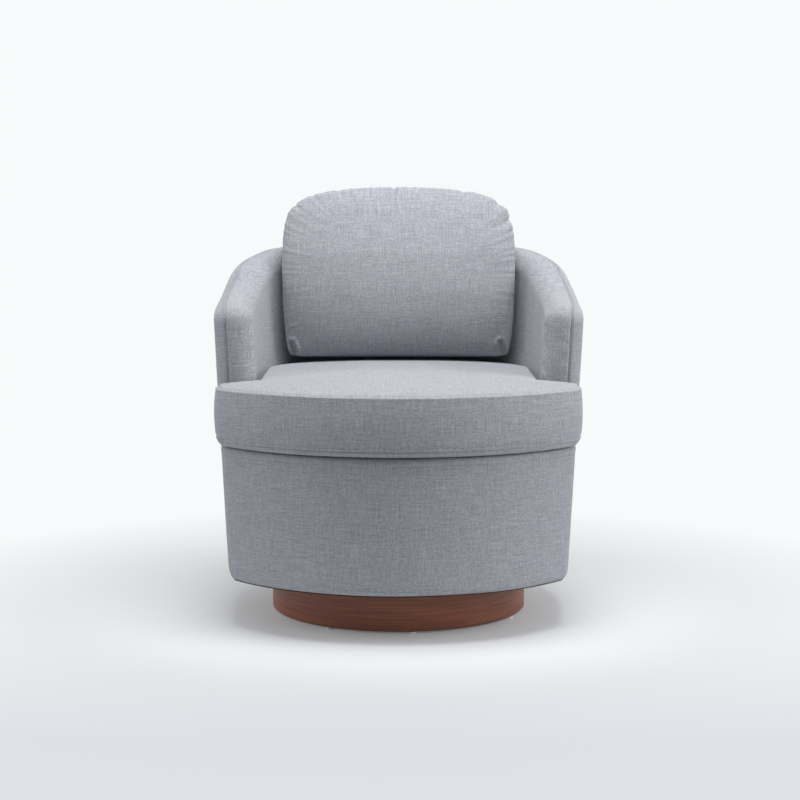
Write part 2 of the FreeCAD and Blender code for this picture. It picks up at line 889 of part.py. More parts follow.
def makeStaples():
    # Wire staples that hold the dust cover to the underside of the bottom board.
    crown = 10
    wire = 0.8
    leg = 8
    phase = 0.25  # keeps them clear of the screws
    shapes = []
    dustLow = dustCoverLow().value
    for index in range(stapleCount):
        angle = 360 * (index + phase) / stapleCount
        bar = slab(-crown / 2, crown / 2, -wire / 2, wire / 2, dustLow - wire, dustLow)
        left = slab(-crown / 2, -crown / 2 + wire, -wire / 2, wire / 2, dustLow, bodyLow.value + leg)
        right = slab(crown / 2 - wire, crown / 2, -wire / 2, wire / 2, dustLow, bodyLow.value + leg)
        staple = bar.fuse([left, right]).removeSplitter()
        staple.rotate(Vector(0, 0, 0), Vector(0, 0, 1), angle)
        x, y = around(sheet.get("staple_circle"), angle)
        staple.translate(Vector(x, y, 0))
        shapes.append(oneSolid(staple))
    return shaped("dust_cover_staples", Part.makeCompound(shapes))


def dustCoverLow():
    return bodyLow - size("deck_cloth_thick")


def makeSprings():
    # Zigzag springs from the front edge of the seat board to its back edge.
    wire = sheet.get("spring_wire")
    pitch = sheet.get("spring_pitch")
    run = sheet.get("spring_run")
    loop = sheet.get("spring_loop")
    hook = 6  # how far a spring's end bar lies behind the edge of the opening
    front = sheet.get("spring_front") - hook
    back = sheet.get("spring_back") + hook
    count = round((back - front) / (2 * loop))
    if count % 2:
        count += 1
    step = (back - front) / count
    bend = step / 2
    level = springLevel.value
    springs = []
    for column in springColumns:
        edges = []
        x = column * pitch
        half = run
        y = front
        sign = 1
        for index in range(count + 1):
            start = Vector(x - sign * half, y, level)
            end = Vector(x + sign * half, y, level)
            edges.append(Part.makeLine(start, end))
            if index < count:
                tip = end + Vector(sign * bend, bend, 0)
                after = end + Vector(0, step, 0)
                edges.append(Part.Arc(end, end + Vector(sign * bend * math.sin(math.pi / 4),
                             bend * (1 - math.cos(math.pi / 4)), 0), tip).toShape())
                edges.append(Part.Arc(tip, after + Vector(sign * bend * math.sin(math.pi / 4),
                             -bend * (1 - math.cos(math.pi / 4)), 0), after).toShape())
            y += step
            sign = -sign
        path = Part.Wire(edges)
        section = Part.Wire(Part.makeCircle(wire, edges[0].Vertexes[0].Point, Vector(1, 0, 0)))
        springs.append(path.makePipeShell([section], True, False))
    length = path.Length
    print("spring wire length", round(length, 1), "volume against section times length",
          round(springs[0].Volume / (math.pi * wire * wire * length), 4))
    shaped("seat_springs", Part.makeCompound(springs))

    clipBase = seatBoardTop.value
    thick = sheet.get("clip_wall")
    half = sheet.get("clip_width") / 2
    tail = sheet.get("clip_tail")
    outer = level - clipBase
    nailRadius = 1.2
    nailHead = 2.6
    headThick = 0.8
    bite = 16
    clips = []
    nails = []
    for column in springColumns:
        for y, away in ((front, -1), (back, 1)):
            middle = Vector(column * pitch - half, y, level)
            tube = Part.makeCylinder(outer, 2 * half, middle, axisX)
            tube = tube.cut(Part.makeCylinder(wire, 2 * half, middle, axisX))
            mouth = slab(middle.x, middle.x + 2 * half, min(y, y - away * outer), max(y, y - away * outer),
                         level - outer, level + outer)
            tube = tube.cut(mouth)
            flat = slab(middle.x, middle.x + 2 * half, min(y, y + away * (outer + tail)),
                        max(y, y + away * (outer + tail)), clipBase, clipBase + thick)
            clip = tube.fuse(flat).removeSplitter()
            for side in (-0.5, 0.5):
                spot = Vector(column * pitch + side * half, y + away * (outer + tail / 2), clipBase)
                shank = Part.makeCylinder(nailRadius, thick + bite, spot - Vector(0, 0, bite))
                head = Part.makeCylinder(nailHead, headThick, spot + Vector(0, 0, thick))
                nails.append(oneSolid(shank.fuse(head).removeSplitter()))
            clips.append(oneSolid(clip.cut(nails[-2:]).cut(springs)))
    shaped("spring_clips", Part.makeCompound(clips))

    ties = []
    overhang = 8
    reach = springColumns[-1] * pitch + run + overhang
    for row in tieWireRows:
        start = Vector(-reach, row, tieLevel.value)
        ties.append(Part.makeCylinder(sheet.get("tie_wire"), 2 * reach, start, axisX))
    shaped("spring_tie_wires", Part.makeCompound(ties))
    return shaped("clip_nails", Part.makeCompound(nails))


def makeWallFrame():
    # Everything that stands between the outer and inner panels.
    noseLine = sheet.get("nose_front") + sheet.get("wall_thick") / 2
    drop = sheet.get("rail_drop")
    railTop = aboveCrest(drop)
    railLow = aboveCrest(drop + sheet.get("rail_high"))
    start = seatBoardTop.value
    cavity = barrel(postOut.value, start, wallTop, noseLine)
    cavity = cavity.cut(barrel(postIn.value, start, wallTop, noseLine))
    rail = oneSolid(cavity.common(railLow).cut(railTop))
    shaped("top_rail", rail)

    half = sheet.get("post_width") / 2
    standing = cavity.cut(railLow)
    armBox = slab(-farAway, farAway, noseLine, noseLine + 2 * half, start, wallTop)
    shaped("arm_posts", standing.common(armBox))
    posts = []
    inwards = 150
    for angle in wallPostAngles:
        box = slab(inwards, farAway, -half, half, start, wallTop)
        box.rotate(Vector(0, 0, 0), Vector(0, 0, 1), angle)
        box.translate(Vector(0, backCentre.value, 0))
        posts += standing.common(box).Solids
    shaped("wall_posts", Part.makeCompound(posts))

    inner = barrel(innerPanelOut.value, start, wallTop, noseLine)
    inner = inner.cut(barrel(innerPanelIn.value, start, wallTop, noseLine))
    shaped("inner_panel", oneSolid(inner.cut(railTop)))

    low = bodyLow.value
    seam = sheet.get("side_seam")
    shell = drum(panelOut.value, low, wallTop).cut(drum(panelIn.value, low, wallTop))
    behind = slab(-farAway, farAway, noseLine, farAway, low, wallTop)
    behind = behind.fuse(slab(-farAway, farAway, seam, farAway, low, start))
    shaped("outer_panel", oneSolid(shell.common(behind).cut(railTop)))
    front = slab(-farAway, farAway, -farAway, seam - sheet.get("panel_gap"), low, start)
    shaped("front_board", oneSolid(shell.common(front)))


# Padding, covers and deck


def makeUpholstery():
    noseLine = sheet.get("nose_front") + sheet.get("wall_thick") / 2
    seam = sheet.get("side_seam")
    low = bodyLow.value
    start = seatBoardTop.value
    under = low - beyond
    seamLevel = sheet.get("deck_seam")
    frontBox = slab(-farAway, farAway, -farAway, seam, under, wallTop)
    backBox = slab(-farAway, farAway, seam, farAway, under, wallTop)
    belowSeam = slab(-farAway, farAway, -farAway, farAway, under, seamLevel)
    aboveSeam = slab(-farAway, farAway, -farAway, farAway, seamLevel, wallTop)

    # Padding round the frame of the arms and back, and round the box under them
    thinOut = paddingIn.value
    thinIn = panelOut.value - gap.value
    cavityIn = innerPanelIn.value + gap.value
    frameLow = start - 1
    frameFront = noseLine - clearance
    frame = barrel(thinIn, frameLow, wallTop, frameFront)
    frame = frame.cut(barrel(cavityIn, frameLow, wallTop, frameFront))
    frame = frame.cut(aboveCrest(sheet.get("rail_drop") - clearance))
    shaped("wall_padding", oneSolid(wall(thinOut, start).cut(frame)))
    skirt = drum(thinOut, low, start).cut(drum(thinIn, low, start))
    shaped("skirt_padding", oneSolid(skirt.common(backBox)))
    edgeTop = deckPadLow.value
    front = drum(thinOut, low, edgeTop).cut(drum(thinIn, low, edgeTop)).common(frontBox)
    shaped("front_padding", oneSolid(front))

    # The deck under the loose cushion
    wallBlock = wall(0, start - beyond)
    clothLow = deckClothLow.value
    full = drum(panelOut.value, clothLow, clothLow + sheet.get("deck_cloth_thick"))
    shaped("deck_cloth", oneSolid(full.cut(wallBlock)))
    shaped("deck_pad", oneSolid(lowerBody(thinOut, edgeTop).cut(wallBlock)))

    # Covers of the box and the deck, then of the arms and back. The side of the
    # box and the outside of the wall are one cloth on the chair.
    skin = lowerBody(0, low).cut(lowerBody(cover.value, under))
    shaped("deck_cover", oneSolid(skin.common(aboveSeam).cut(wallBlock)))
    shaped("front_cover", oneSolid(skin.common(belowSeam).common(frontBox)))
    shaped("skirt_cover", oneSolid(skin.common(belowSeam).common(backBox)))
    skinLow = seamLevel - beyond
    wallSkin = wall(0, seamLevel).cut(wall(cover.value, skinLow))
    inside = barrel(sheet.get("wall_thick") / 2, skinLow, wallTop, sheet.get("nose_front") - beyond)
    shaped("outside_cover", oneSolid(wallSkin.cut(inside)))
    deck = slab(-farAway, farAway, -farAway, farAway, skinLow, sheet.get("deck_level"))
    shaped("inside_cover", oneSolid(wallSkin.common(inside).cut(deck)))

    body = newBody("dust_cover_blank")
    sketch = newSketch(body, "dust_cover_outline", lift=dustCoverLow())
    drawPlan(sketch, size("board_inset") - dustMargin, bodyLow)
    drawCircle(sketch, 0, 0, size("plate_radius") + dustMargin)
    pad(body, sketch, size("deck_cloth_thick"), "dust_cover_pad")
    keep("dust_cover", cut("dust_cover", body, nodes["dust_cover_staples"]))


# Cushions

earRound = 14
earLeast = 4


def seatPlan(inset, level):
    # T-shaped cushion: bowed front, ears round the arm noses, round back.
    earBack = sheet.get("nose_front") - sheet.get("seat_gap") - inset
    depth = inset
    toSide = unit(cornerMiddle - sideMiddle)
    toBow = unit(cornerMiddle - bowMiddle)
    corner = cornerRadius.value - depth
    side = sideRadius.value - depth
    bow = bowRadius.value - depth
    edges = [arcAbout(bowMiddle, bow, mirrored(toBow), -axisY), arcAbout(bowMiddle, bow, -axisY, toBow)]
    edges.append(arcAbout(cornerMiddle, corner, toBow, toSide))
    edges.append(arcAbout(mirrored(cornerMiddle), corner, mirrored(toSide), mirrored(toBow)))
    ear = earRound - min(inset, earRound - earLeast)
    earRise = (earBack - ear - backCentre.value) / side
    toEar = Vector(math.sqrt(1 - earRise * earRise), earRise, 0)
    edges.append(arcAbout(sideMiddle, side, toSide, toEar))
    edges.append(arcAbout(mirrored(sideMiddle), side, mirrored(toEar), mirrored(toSide)))
    earStart = sideMiddle + toEar * side
    earEnd = Vector(earStart.x - ear, earBack, 0)
    cornerCut = ear * (1 - math.sqrt(0.5))
    bulge = Vector(earStart.x - cornerCut, earBack - cornerCut, 0)
    # The tongue between the arms is as wide as the gap between the noses.
    tuck = sheet.get("wall_thick") + sheet.get("seat_gap") + drawnIn(level) + inset
    noseY = sheet.get("nose_front") + sheet.get("wall_thick") / 2
    innerSide = sideRadius.value - tuck
    rise = (noseY - backCentre.value) / innerSide
    halfTongue = sideMiddle.x + math.sqrt(1 - rise * rise) * innerSide
    innerFront = Vector(halfTongue, earBack, 0)
    tongueRound = backRadius.value - tuck
    toTongue = Vector(halfTongue, math.sqrt(tongueRound ** 2 - halfTongue ** 2), 0) / tongueRound
    tongueBack = backMiddle + toTongue * tongueRound
    for flip in (False, True):
        spots = [earStart, bulge, earEnd, innerFront]
        if flip:
            spots = [mirrored(spot) for spot in spots]
        edges.append(Part.Arc(spots[0], spots[1], spots[2]).toShape())
        edges.append(Part.makeLine(spots[2], spots[3]))
    edges.append(Part.makeLine(innerFront, tongueBack))
    edges.append(Part.makeLine(mirrored(innerFront), mirrored(tongueBack)))
    edges.append(arcAbout(backMiddle, tongueRound, toTongue, axisY))
    edges.append(arcAbout(backMiddle, tongueRound, axisY, mirrored(toTongue)))
    return atLevel(edges, level)


def underCrown(inset):
    # A wide shallow dome about the middle of the front bow, so that the front
    # seam stays level all round the bow.
    reach = bowRadius.value
    rise = sheet.get("seat_crown") - sheet.get("seat_edge")
    domeRadius = (reach ** 2 + rise ** 2) / (2 * rise)
    top = sheet.get("seat_crown") - inset
    return Part.makeSphere(domeRadius, Vector(0, bowCentreY.value, top - domeRadius))


def seatBlock(inset):
    # Drawn in at the bottom and top seams, full between them.
    low = sheet.get("seat_low")
    levels = [(low + inset, 11), (low + 8, 4), (low + 24, 0), (low + 88, 0),
              (low + 101, 2.5), (low + 112, 7), (low + 150, 9)]
    wires = [seatPlan(draw + inset, level) for level, draw in levels]
    block = Part.makeLoft(wires, True, True)
    return oneSolid(block.common(underCrown(inset)))


def makeSeatCushion():
    skin = sheet.get("cushion_cover")
    outer = seatBlock(clearance)
    inner = seatBlock(clearance + skin)
    shaped("seat_cushion_cover", oneSolid(outer.cut(inner)))
    shaped("seat_cushion_foam", seatBlock(clearance + skin + gap.value))


def pillowSection(level, halfWidth, seam, front, back, edge):
    left = Vector(-halfWidth, seam, level)
    right = Vector(halfWidth, seam, level)
    rightFront = right + Vector(-edge, -edge, 0)
    rightBack = right + Vector(-edge, edge, 0)
    arcs = [Part.Arc(mirrored(rightFront), Vector(0, front, level), rightFront).toShape()]
    arcs.append(Part.Arc(rightFront, right, rightBack).toShape())
    arcs.append(Part.Arc(rightBack, Vector(0, back, level), mirrored(rightBack)).toShape())
    arcs.append(Part.Arc(mirrored(rightBack), left, mirrored(rightFront)).toShape())
    return Part.Wire(arcs)


def pillow():
    # Knife-edged back cushion: full in the middle, thin round its seam.
    low = sheet.get("pillow_low")
    high = sheet.get("pillow_high")
    half = sheet.get("pillow_half_width")
    seam = sheet.get("pillow_seam")
    front = sheet.get("pillow_front")
    back = sheet.get("pillow_back")
    # level, share of the half width, seam, front, back, edge
    stations = [
        (low, 0.84, seam + 4, front + 34, back - 40, 16),
        (low + 10, 0.905, seam + 2, front + 20, back - 18, 18),
        (low + 40, 0.965, seam, front + 8, back - 8, 20),
        (low + 120, 1.0, seam, front, back, 19),
        (low + 215, 1.0, seam + 4, front + 6, back + 1, 18),
        (high - 80, 0.975, seam + 12, front + 19, back - 9, 17),
        (high - 48, 0.915, seam + 18, front + 32, back - 30, 15),
        (high - 26, 0.82, seam + 23, front + 44, back - 54, 12),
        (high - 11, 0.67, seam + 27, front + 52, back - 76, 9),
        (high, 0.42, seam + 31, front + 60, back - 97, 5)]
    wires = []
    for level, share, seamY, frontY, backY, edge in stations:
        wires.append(pillowSection(level, half * share, seamY, frontY, backY, edge))
    return oneSolid(Part.makeLoft(wires, True, False))


def makeBackCushion():
    skin = sheet.get("cushion_cover")
    outer = pillow()
    depth = sheet.get("pillow_back") - sheet.get("pillow_front")
    middleZ = (sheet.get("pillow_low") + sheet.get("pillow_high")) / 2
    leanForward = 12
    middle = Vector(0, sheet.get("pillow_front") + depth / 2 - leanForward, middleZ)
    room = sheet.get("pillow_fill_room")
    inner = outer.scaled(1 - 2 * skin / depth, middle)
    fill = outer.scaled(1 - 2 * (skin + room) / depth, middle)
    shaped("back_cushion_cover", oneSolid(outer.cut(inner)))
    shaped("back_cushion_fill", oneSolid(fill))


# Build, check and write

topBoard = makePlinth()
boltSet, nutSet = makeSwivel(topBoard)
makeFrame(boltSet, nutSet)
makeWallFrame()
makeUpholstery()
makeSeatCushion()
makeBackCushion()
doc.recompute()

for item in doc.Objects:
    if "Invalid" in item.State or "Error" in item.State:
        raise RuntimeError(f"{item.Label} failed: {item.State}")
for name, item in nodes.items():
    shape = item.Shape
    if shape.isNull() or not shape.isValid() or not shape.Solids:
        raise RuntimeError(f"{name} has no valid solid")
    shape.exportStep(f"parts/{name}.step")
    print(name, len(shape.Solids), "solids", round(shape.Volume / 1000, 1), "cm3")
print(len(nodes), "nodes")
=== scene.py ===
import json
import math
import random

import bpy
import numpy as np
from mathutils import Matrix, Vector
from mathutils.bvhtree import BVHTree
from mathutils.kdtree import KDTree


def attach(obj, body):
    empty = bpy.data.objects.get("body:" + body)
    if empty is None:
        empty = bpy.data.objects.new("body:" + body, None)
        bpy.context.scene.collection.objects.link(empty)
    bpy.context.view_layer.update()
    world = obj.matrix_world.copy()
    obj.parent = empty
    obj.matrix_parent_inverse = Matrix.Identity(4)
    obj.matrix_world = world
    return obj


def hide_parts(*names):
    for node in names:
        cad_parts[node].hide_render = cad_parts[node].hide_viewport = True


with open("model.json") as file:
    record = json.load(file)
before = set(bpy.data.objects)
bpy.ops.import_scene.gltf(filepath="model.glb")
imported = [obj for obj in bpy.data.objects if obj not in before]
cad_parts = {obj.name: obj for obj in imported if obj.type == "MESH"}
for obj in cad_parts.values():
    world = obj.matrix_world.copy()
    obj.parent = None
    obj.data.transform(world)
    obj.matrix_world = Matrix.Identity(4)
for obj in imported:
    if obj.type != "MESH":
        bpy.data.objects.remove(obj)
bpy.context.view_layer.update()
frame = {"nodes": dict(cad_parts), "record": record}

# Everything is in metres, with the swivel axis at X 0, Y 0 and the chair facing -Y.


# mesh helpers

def meshFromGrid(name, grid, closed=False):
    # grid is rows of points, each row as long as the next
    grid = np.asarray(grid, float)
    rows, columns = grid.shape[:2]
    index = np.arange(rows * columns).reshape(rows, columns)
    if closed:
        index = np.hstack([index, index[:, :1]])
    a, b = index[:-1, :-1].ravel(), index[:-1, 1:].ravel()
    c, d = index[1:, 1:].ravel(), index[1:, :-1].ravel()
    faces = np.stack([a, b, c, d], 1).tolist()
    return meshFromData(name, grid.reshape(-1, 3).tolist(), faces)


def meshFromData(name, points, faces):
    mesh = bpy.data.meshes.new(name)
    mesh.from_pydata(points, [], faces)
    mesh.validate()
    piece = bpy.data.objects.new(name, mesh)
    bpy.context.scene.collection.objects.link(piece)
    return piece


def joined(name, pieces):
    for piece in bpy.context.selected_objects:
        piece.select_set(False)
    for piece in pieces:
        piece.select_set(True)
    bpy.context.view_layer.objects.active = pieces[0]
    bpy.ops.object.join()
    whole = bpy.context.view_layer.objects.active
    whole.name = name
    whole.data.name = name
    return whole


def edited(piece, *steps):
    # runs mesh operators on the whole piece
    for other in bpy.context.selected_objects:
        other.select_set(False)
    piece.select_set(True)
    bpy.context.view_layer.objects.active = piece
    bpy.ops.object.mode_set(mode="EDIT")
    bpy.ops.mesh.select_all(action="SELECT")
    for step in steps:
        step()
    bpy.ops.object.mode_set(mode="OBJECT")
    return piece


def weld(distance=0.0002):
    return lambda: bpy.ops.mesh.remove_doubles(threshold=distance)


def facesOut():
    return lambda: bpy.ops.mesh.normals_make_consistent(inside=False)


def applied(piece, kind, **settings):
    modifier = piece.modifiers.new(kind.title(), kind)
    for key, value in settings.items():
        setattr(modifier, key, value)
    bpy.context.view_layer.objects.active = piece
    bpy.ops.object.modifier_apply(modifier=modifier.name)
    return piece


def smooth(piece):
    for face in piece.data.polygons:
        face.use_smooth = True
    return piece


def pointsOf(piece):
    flat = np.zeros(len(piece.data.vertices) * 3)
    piece.data.vertices.foreach_get("co", flat)
    return flat.reshape(-1, 3)


def setPoints(piece, points):
    piece.data.vertices.foreach_set("co", np.asarray(points, float).ravel())
    piece.data.update()


def normalsOf(piece):
    flat = np.zeros(len(piece.data.vertices) * 3)
    piece.data.vertices.foreach_get("normal", flat)
    return flat.reshape(-1, 3)


def waves(points, seed, length, count=5):
    # soft unevenness from a few sine waves in random directions
    chance = random.Random(seed)
    total = np.zeros(len(points))
    for _ in range(count):
        way = np.array([chance.gauss(0, 1) for _ in range(3)])
        way /= np.linalg.norm(way)
        step = length * chance.uniform(0.6, 1.6)
        total += np.sin(points @ way * 2 * math.pi / step + chance.uniform(0, 2 * math.pi))
    return total / count


def eased(share):
    share = np.clip(share, 0, 1)
    return share * share * (3 - 2 * share)


def hill(distance, width):
    return np.exp(-(np.asarray(distance) / width) ** 2)


# plan of the barrel body

barrel = {
    "backRadius": 0.362,
    "backCentreY": 0.020,
    "cornerX": 0.288,
    "cornerY": -0.188,
    "cornerRadius": 0.055,
    "frontReach": -0.380,
    "referenceLevel": 0.596,  # where the plan has these sizes
    "taper": 0.05,            # how much it draws in below and above that level
    "low": 0.092,
    "deckSeam": 0.334,
    "deckLevel": 0.346,
    "sideSeam": -0.192,
    "wallThick": 0.075,
    "crestRound": 0.031,
    "noseFront": -0.150,
    "noseHeight": 0.605,
    "crestHeight": 0.718,
    # the top line of arms and back: y, height and slope of its straight stretches,
    # and the arcs between them, the first of them hollow
    "crestLines": [(-0.150, 0.606, 0.09), (0.105, 0.658, 0.72), (0.195, 0.701, 0.30), (0.195, 0.718, 0)],
    "crestArcs": [0.220, 0.170, 0.300],
}

cornerDx = barrel["cornerX"] - barrel["backRadius"]
cornerDy = barrel["cornerY"] - barrel["backCentreY"]
sideRadius = (barrel["cornerRadius"] ** 2 - cornerDx ** 2 - cornerDy ** 2)
sideRadius /= 2 * (cornerDx + barrel["cornerRadius"])
sideCentreX = barrel["backRadius"] - sideRadius
frontDy = barrel["cornerY"] - barrel["frontReach"]
bowRadius = barrel["cornerX"] ** 2 + frontDy ** 2 - barrel["cornerRadius"] ** 2
bowRadius /= 2 * (frontDy - barrel["cornerRadius"])
bowCentreY = barrel["frontReach"] + bowRadius

# arcs of the right half, from the back middle to the front middle:
# centre x, centre y, radius, first angle, last angle
sideTurn = math.atan2(cornerDy, barrel["cornerX"] - sideCentreX)
bowTurn = math.atan2(barrel["cornerY"] - bowCentreY, barrel["cornerX"])
planArcs = [
    (0, barrel["backCentreY"], barrel["backRadius"], math.pi / 2, 0),
    (sideCentreX, barrel["backCentreY"], sideRadius, 0, sideTurn),
    (barrel["cornerX"], barrel["cornerY"], barrel["cornerRadius"], sideTurn, bowTurn),
    (0, bowCentreY, bowRadius, bowTurn, -math.pi / 2),
]
arcLengths = [radius * abs(last - first) for _, _, radius, first, last in planArcs]
halfRound = sum(arcLengths)


def planPoint(distance):
    # a point of the plan and its outward direction, by the distance from the back
    # middle: positive on the right, negative on the left
    left = distance < 0
    rest = abs(distance)
    for (x, y, radius, first, last), length in zip(planArcs, arcLengths):
        if rest <= length or length is arcLengths[-1]:
            angle = first + (last - first) * rest / length
            break
        rest -= length
    out = Vector((math.cos(angle), math.sin(angle), 0))
    place = Vector((x, y, 0)) + out * radius
    if left:
        place.x, out.x = -place.x, -out.x
    return place, out


def distanceAtY(y):
    # how far along the plan the side reaches a given y
    angle = math.asin((y - barrel["backCentreY"]) / sideRadius)
    return arcLengths[0] - angle * sideRadius


def drawnIn(level):
    return barrel["taper"] * (barrel["referenceLevel"] - level)


def crestSteps():
    # the arcs of the top line, as first y, last y, centre y, centre height, radius and side
    steps = []
    lines = barrel["crestLines"]
    for (y, z, slope), (nextY, nextZ, nextSlope), radius in zip(lines, lines[1:], barrel["crestArcs"]):
        side = 1 if nextSlope > slope else -1
        cornerSpot = (nextZ - z + slope * y - nextSlope * nextY) / (slope - nextSlope)
        turn = math.atan(slope)
        half = abs(math.atan(nextSlope) - turn) / 2
        reach = radius * math.tan(half)
        first = cornerSpot - reach * math.cos(turn)
        last = cornerSpot + reach * math.cos(math.atan(nextSlope))
        height = z + slope * (first - y)
        steps.append((first, last, first - side * radius * math.sin(turn),
                      height + side * radius * math.cos(turn), radius, side))
    return steps


crestParts = crestSteps()


def crestAt(y):
    # height of the top line of the arms and back, before it is rounded
    for arc, (lineY, lineZ, slope) in zip(crestParts, barrel["crestLines"]):
        first, last, centreY, centreZ, radius, side = arc
        if y < first:
            return lineZ + slope * (y - lineY)
        if y < last:
            return centreZ - side * math.sqrt(radius ** 2 - (y - centreY) ** 2)
    return barrel["crestHeight"]


noseY = barrel["noseFront"] + barrel["wallThick"] / 2
noseDistance = distanceAtY(noseY)
seamDistance = distanceAtY(barrel["sideSeam"])
halfWall = barrel["wallThick"] / 2


# covers of the arms and back

covers = {
    "clothThick": 0.0018,
    "seamDepth": 0.0026,
    "seamWidth": 0.0019,
    "turnUnder": 0.020,
    "foldDrop": 0.0002,     # the fold under the body lies on the board, inside the dust cover
    "edgeRound": 0.012,
    "columnStep": 0.007,
    "rowStep": 0.008,
    "crestAngles": [0, 9, 18, 27, 36, 45, 54, 61, 66, 69.5, 71.5, 73, 74.5, 76.5, 80, 85, 90],
    "seamAngle": 73,        # where the seam is on the rounded crest
    "unevenness": 0.0008,
    "hemWave": 0.0007,
    "lineStep": 0.0012,     # how closely a seam's distance is measured
    "outsideRows": 34,      # rows of squares up the wall, below its rounding
    "insideRows": 38,
    "insideDrop": 0.016,    # how far the inside cover goes down past the deck
    "wallSeed": 3,
    "frontSeed": 5,
    "waveLength": 0.16,
    "seamRows": 40,
    "seamStep": 0.006,
}


def spread(first, last, step):
    count = max(int(round(abs(last - first) / step)), 1)
    return [first + (last - first) * i / count for i in range(count + 1)]


def wallSpot(station, turn, reach, level):
    # A point reach away from the middle line of the wall, at a level. Station is the
    # distance along the plan. Turn is 0 outwards, 90 over the front of the nose and
    # 180 inwards, in degrees.
    place, out = planPoint(station)
    middle = place - out * (halfWall + drawnIn(level))
    ahead = Vector((out.y, -out.x, 0)) * (1 if station > 0 else -1)
    angle = math.radians(turn)
    way = out * math.cos(angle) + ahead * math.sin(angle)
    return middle + way * reach + Vector((0, 0, level)), way


def crestReach(angle):
    # distance from the middle of the wall and rise, at an angle of the rounded crest
    bend = barrel["crestRound"]
    turn = math.radians(angle)
    return halfWall - bend + bend * math.cos(turn), bend * math.sin(turn)


def crestSpot(station, reach, rise):
    # a point of the crest, with reach signed: positive outside the middle
    middle = wallSpot(station, 0, 0, barrel["noseHeight"])[0]
    spot = wallSpot(station, 0, reach, crestAt(middle.y) - barrel["crestRound"])[0]
    spot.z = crestAt(spot.y) - barrel["crestRound"] + rise
    return spot


def wallColumn(station, side, low, rows):
    # One column of a cover from a low level up to the crest's rounding, and over it to
    # the seam. Side is 1 for the outside cover and -1 for the inside one.
    turn = 0 if side > 0 else 180
    foot = wallSpot(station, turn, halfWall, barrel["noseHeight"])[0]
    bendLow = crestAt(foot.y) - barrel["crestRound"]
    column = [wallSpot(station, turn, halfWall, low + (bendLow - low) * i / rows)[0] for i in range(rows)]
    up = [angle for angle in covers["crestAngles"] if side < 0 or angle <= covers["seamAngle"]]
    down = [angle for angle in reversed(covers["crestAngles"]) if side < 0 and angle >= covers["seamAngle"]]
    for angle in up:
        reach, rise = crestReach(angle)
        column.append(crestSpot(station, side * reach, rise))
    for angle in down:
        reach, rise = crestReach(angle)
        column.append(crestSpot(station, reach, rise))
    return column


def noseColumn(side, outwards, low, rows, bends=9):
    # Up the front of an arm and over its top, at a distance outwards of its middle.
    share = min(abs(outwards) / halfWall, 1)
    turn = 90 - math.copysign(math.degrees(math.asin(share)), outwards)
    station = side * noseDistance
    foot = wallSpot(station, turn, halfWall, barrel["noseHeight"])[0]
    bendLow = crestAt(foot.y) - barrel["crestRound"]
    column = [wallSpot(station, turn, halfWall, low + (bendLow - low) * i / rows)[0] for i in range(rows)]
    least = max(abs(outwards), halfWall - barrel["crestRound"])
    last = math.degrees(math.acos(min((least - halfWall) / barrel["crestRound"] + 1, 1)))
    place, out = planPoint(station)
    ahead = Vector((out.y, -out.x, 0)) * side
    for i in range(bends + 1):
        reach, rise = crestReach(last * i / bends)
        forward = math.sqrt(max(reach ** 2 - outwards ** 2, 0)) if i < bends else 0
        middle = wallSpot(station, 0, outwards, bendLow)[0] + ahead * forward
        middle.z = crestAt(middle.y) - barrel["crestRound"] + rise
        column.append(middle)
    return column


def noseOffsets(side):
    # distances outwards of the arm's middle, for the outside (1) or inside (-1) cover
    reaches = [crestReach(angle)[0] for angle in covers["crestAngles"]]
    reaches = [reach if reach > halfWall - barrel["crestRound"] + 1e-6 else 0.0015 for reach in reaches]
    seam = crestReach(covers["seamAngle"])[0]
    if side > 0:
        return [reach for reach in reaches if reach >= seam - 1e-9]
    return [-reach for reach in reaches] + [reach for reach in reversed(reaches) if reach <= seam + 1e-9]


def toLine(points, line):
    # distance of each point from a line, and how far along the line its nearest place is
    spots = [Vector(spot) for spot in line]
    dense = []
    for before, after in zip(spots, spots[1:]):
        count = max(int((after - before).length / covers["lineStep"]), 1)
        dense += [before.lerp(after, i / count) for i in range(count)]
    dense.append(spots[-1])
    tree = KDTree(len(dense))
    for i, spot in enumerate(dense):
        tree.insert(spot, i)
    tree.balance()
    found = [tree.find(point) for point in points]
    return np.array([item[2] for item in found]), np.array([item[1] for item in found]) / len(dense)


def pressed(piece, line, depth, width):
    # presses a seam into the cloth along a line
    points = pointsOf(piece)
    away, _ = toLine(points, line)
    setPoints(piece, points - normalsOf(piece) * (depth * hill(away, width))[:, None])


def skirtSpot(station, level, inset=0.0):
    place, out = planPoint(station)
    spot = place - out * (drawnIn(level) + inset)
    spot.z = level
    return spot


def skirtColumn(station):
    # from the fold under the body up to the level of the deck seam
    bend = covers["edgeRound"]
    wave = covers["hemWave"] * (math.sin(station * 31) + 0.6 * math.sin(station * 73 + 1))
    low = barrel["low"] + wave
    under = barrel["low"] - covers["foldDrop"]
    column = [skirtSpot(station, under, covers["turnUnder"]),
              skirtSpot(station, under, (covers["turnUnder"] + bend) / 2)]
    for angle in (0, 22, 45, 67, 90):
        turn = math.radians(angle)
        level = under + (low + bend - under) * (1 - math.cos(turn))
        column.append(skirtSpot(station, level, bend - bend * math.sin(turn)))
    first = low + bend
    seam = barrel["deckSeam"]
    rows = len(spread(barrel["low"], seam, covers["rowStep"]))
    for i in range(1, rows):
        column.append(skirtSpot(station, first + (seam - 0.006 - first) * i / (rows - 1)))
    for drop in (0.004, 0.0025, 0.0012, 0.0005, 0):
        column.append(skirtSpot(station, seam - drop))
    return column


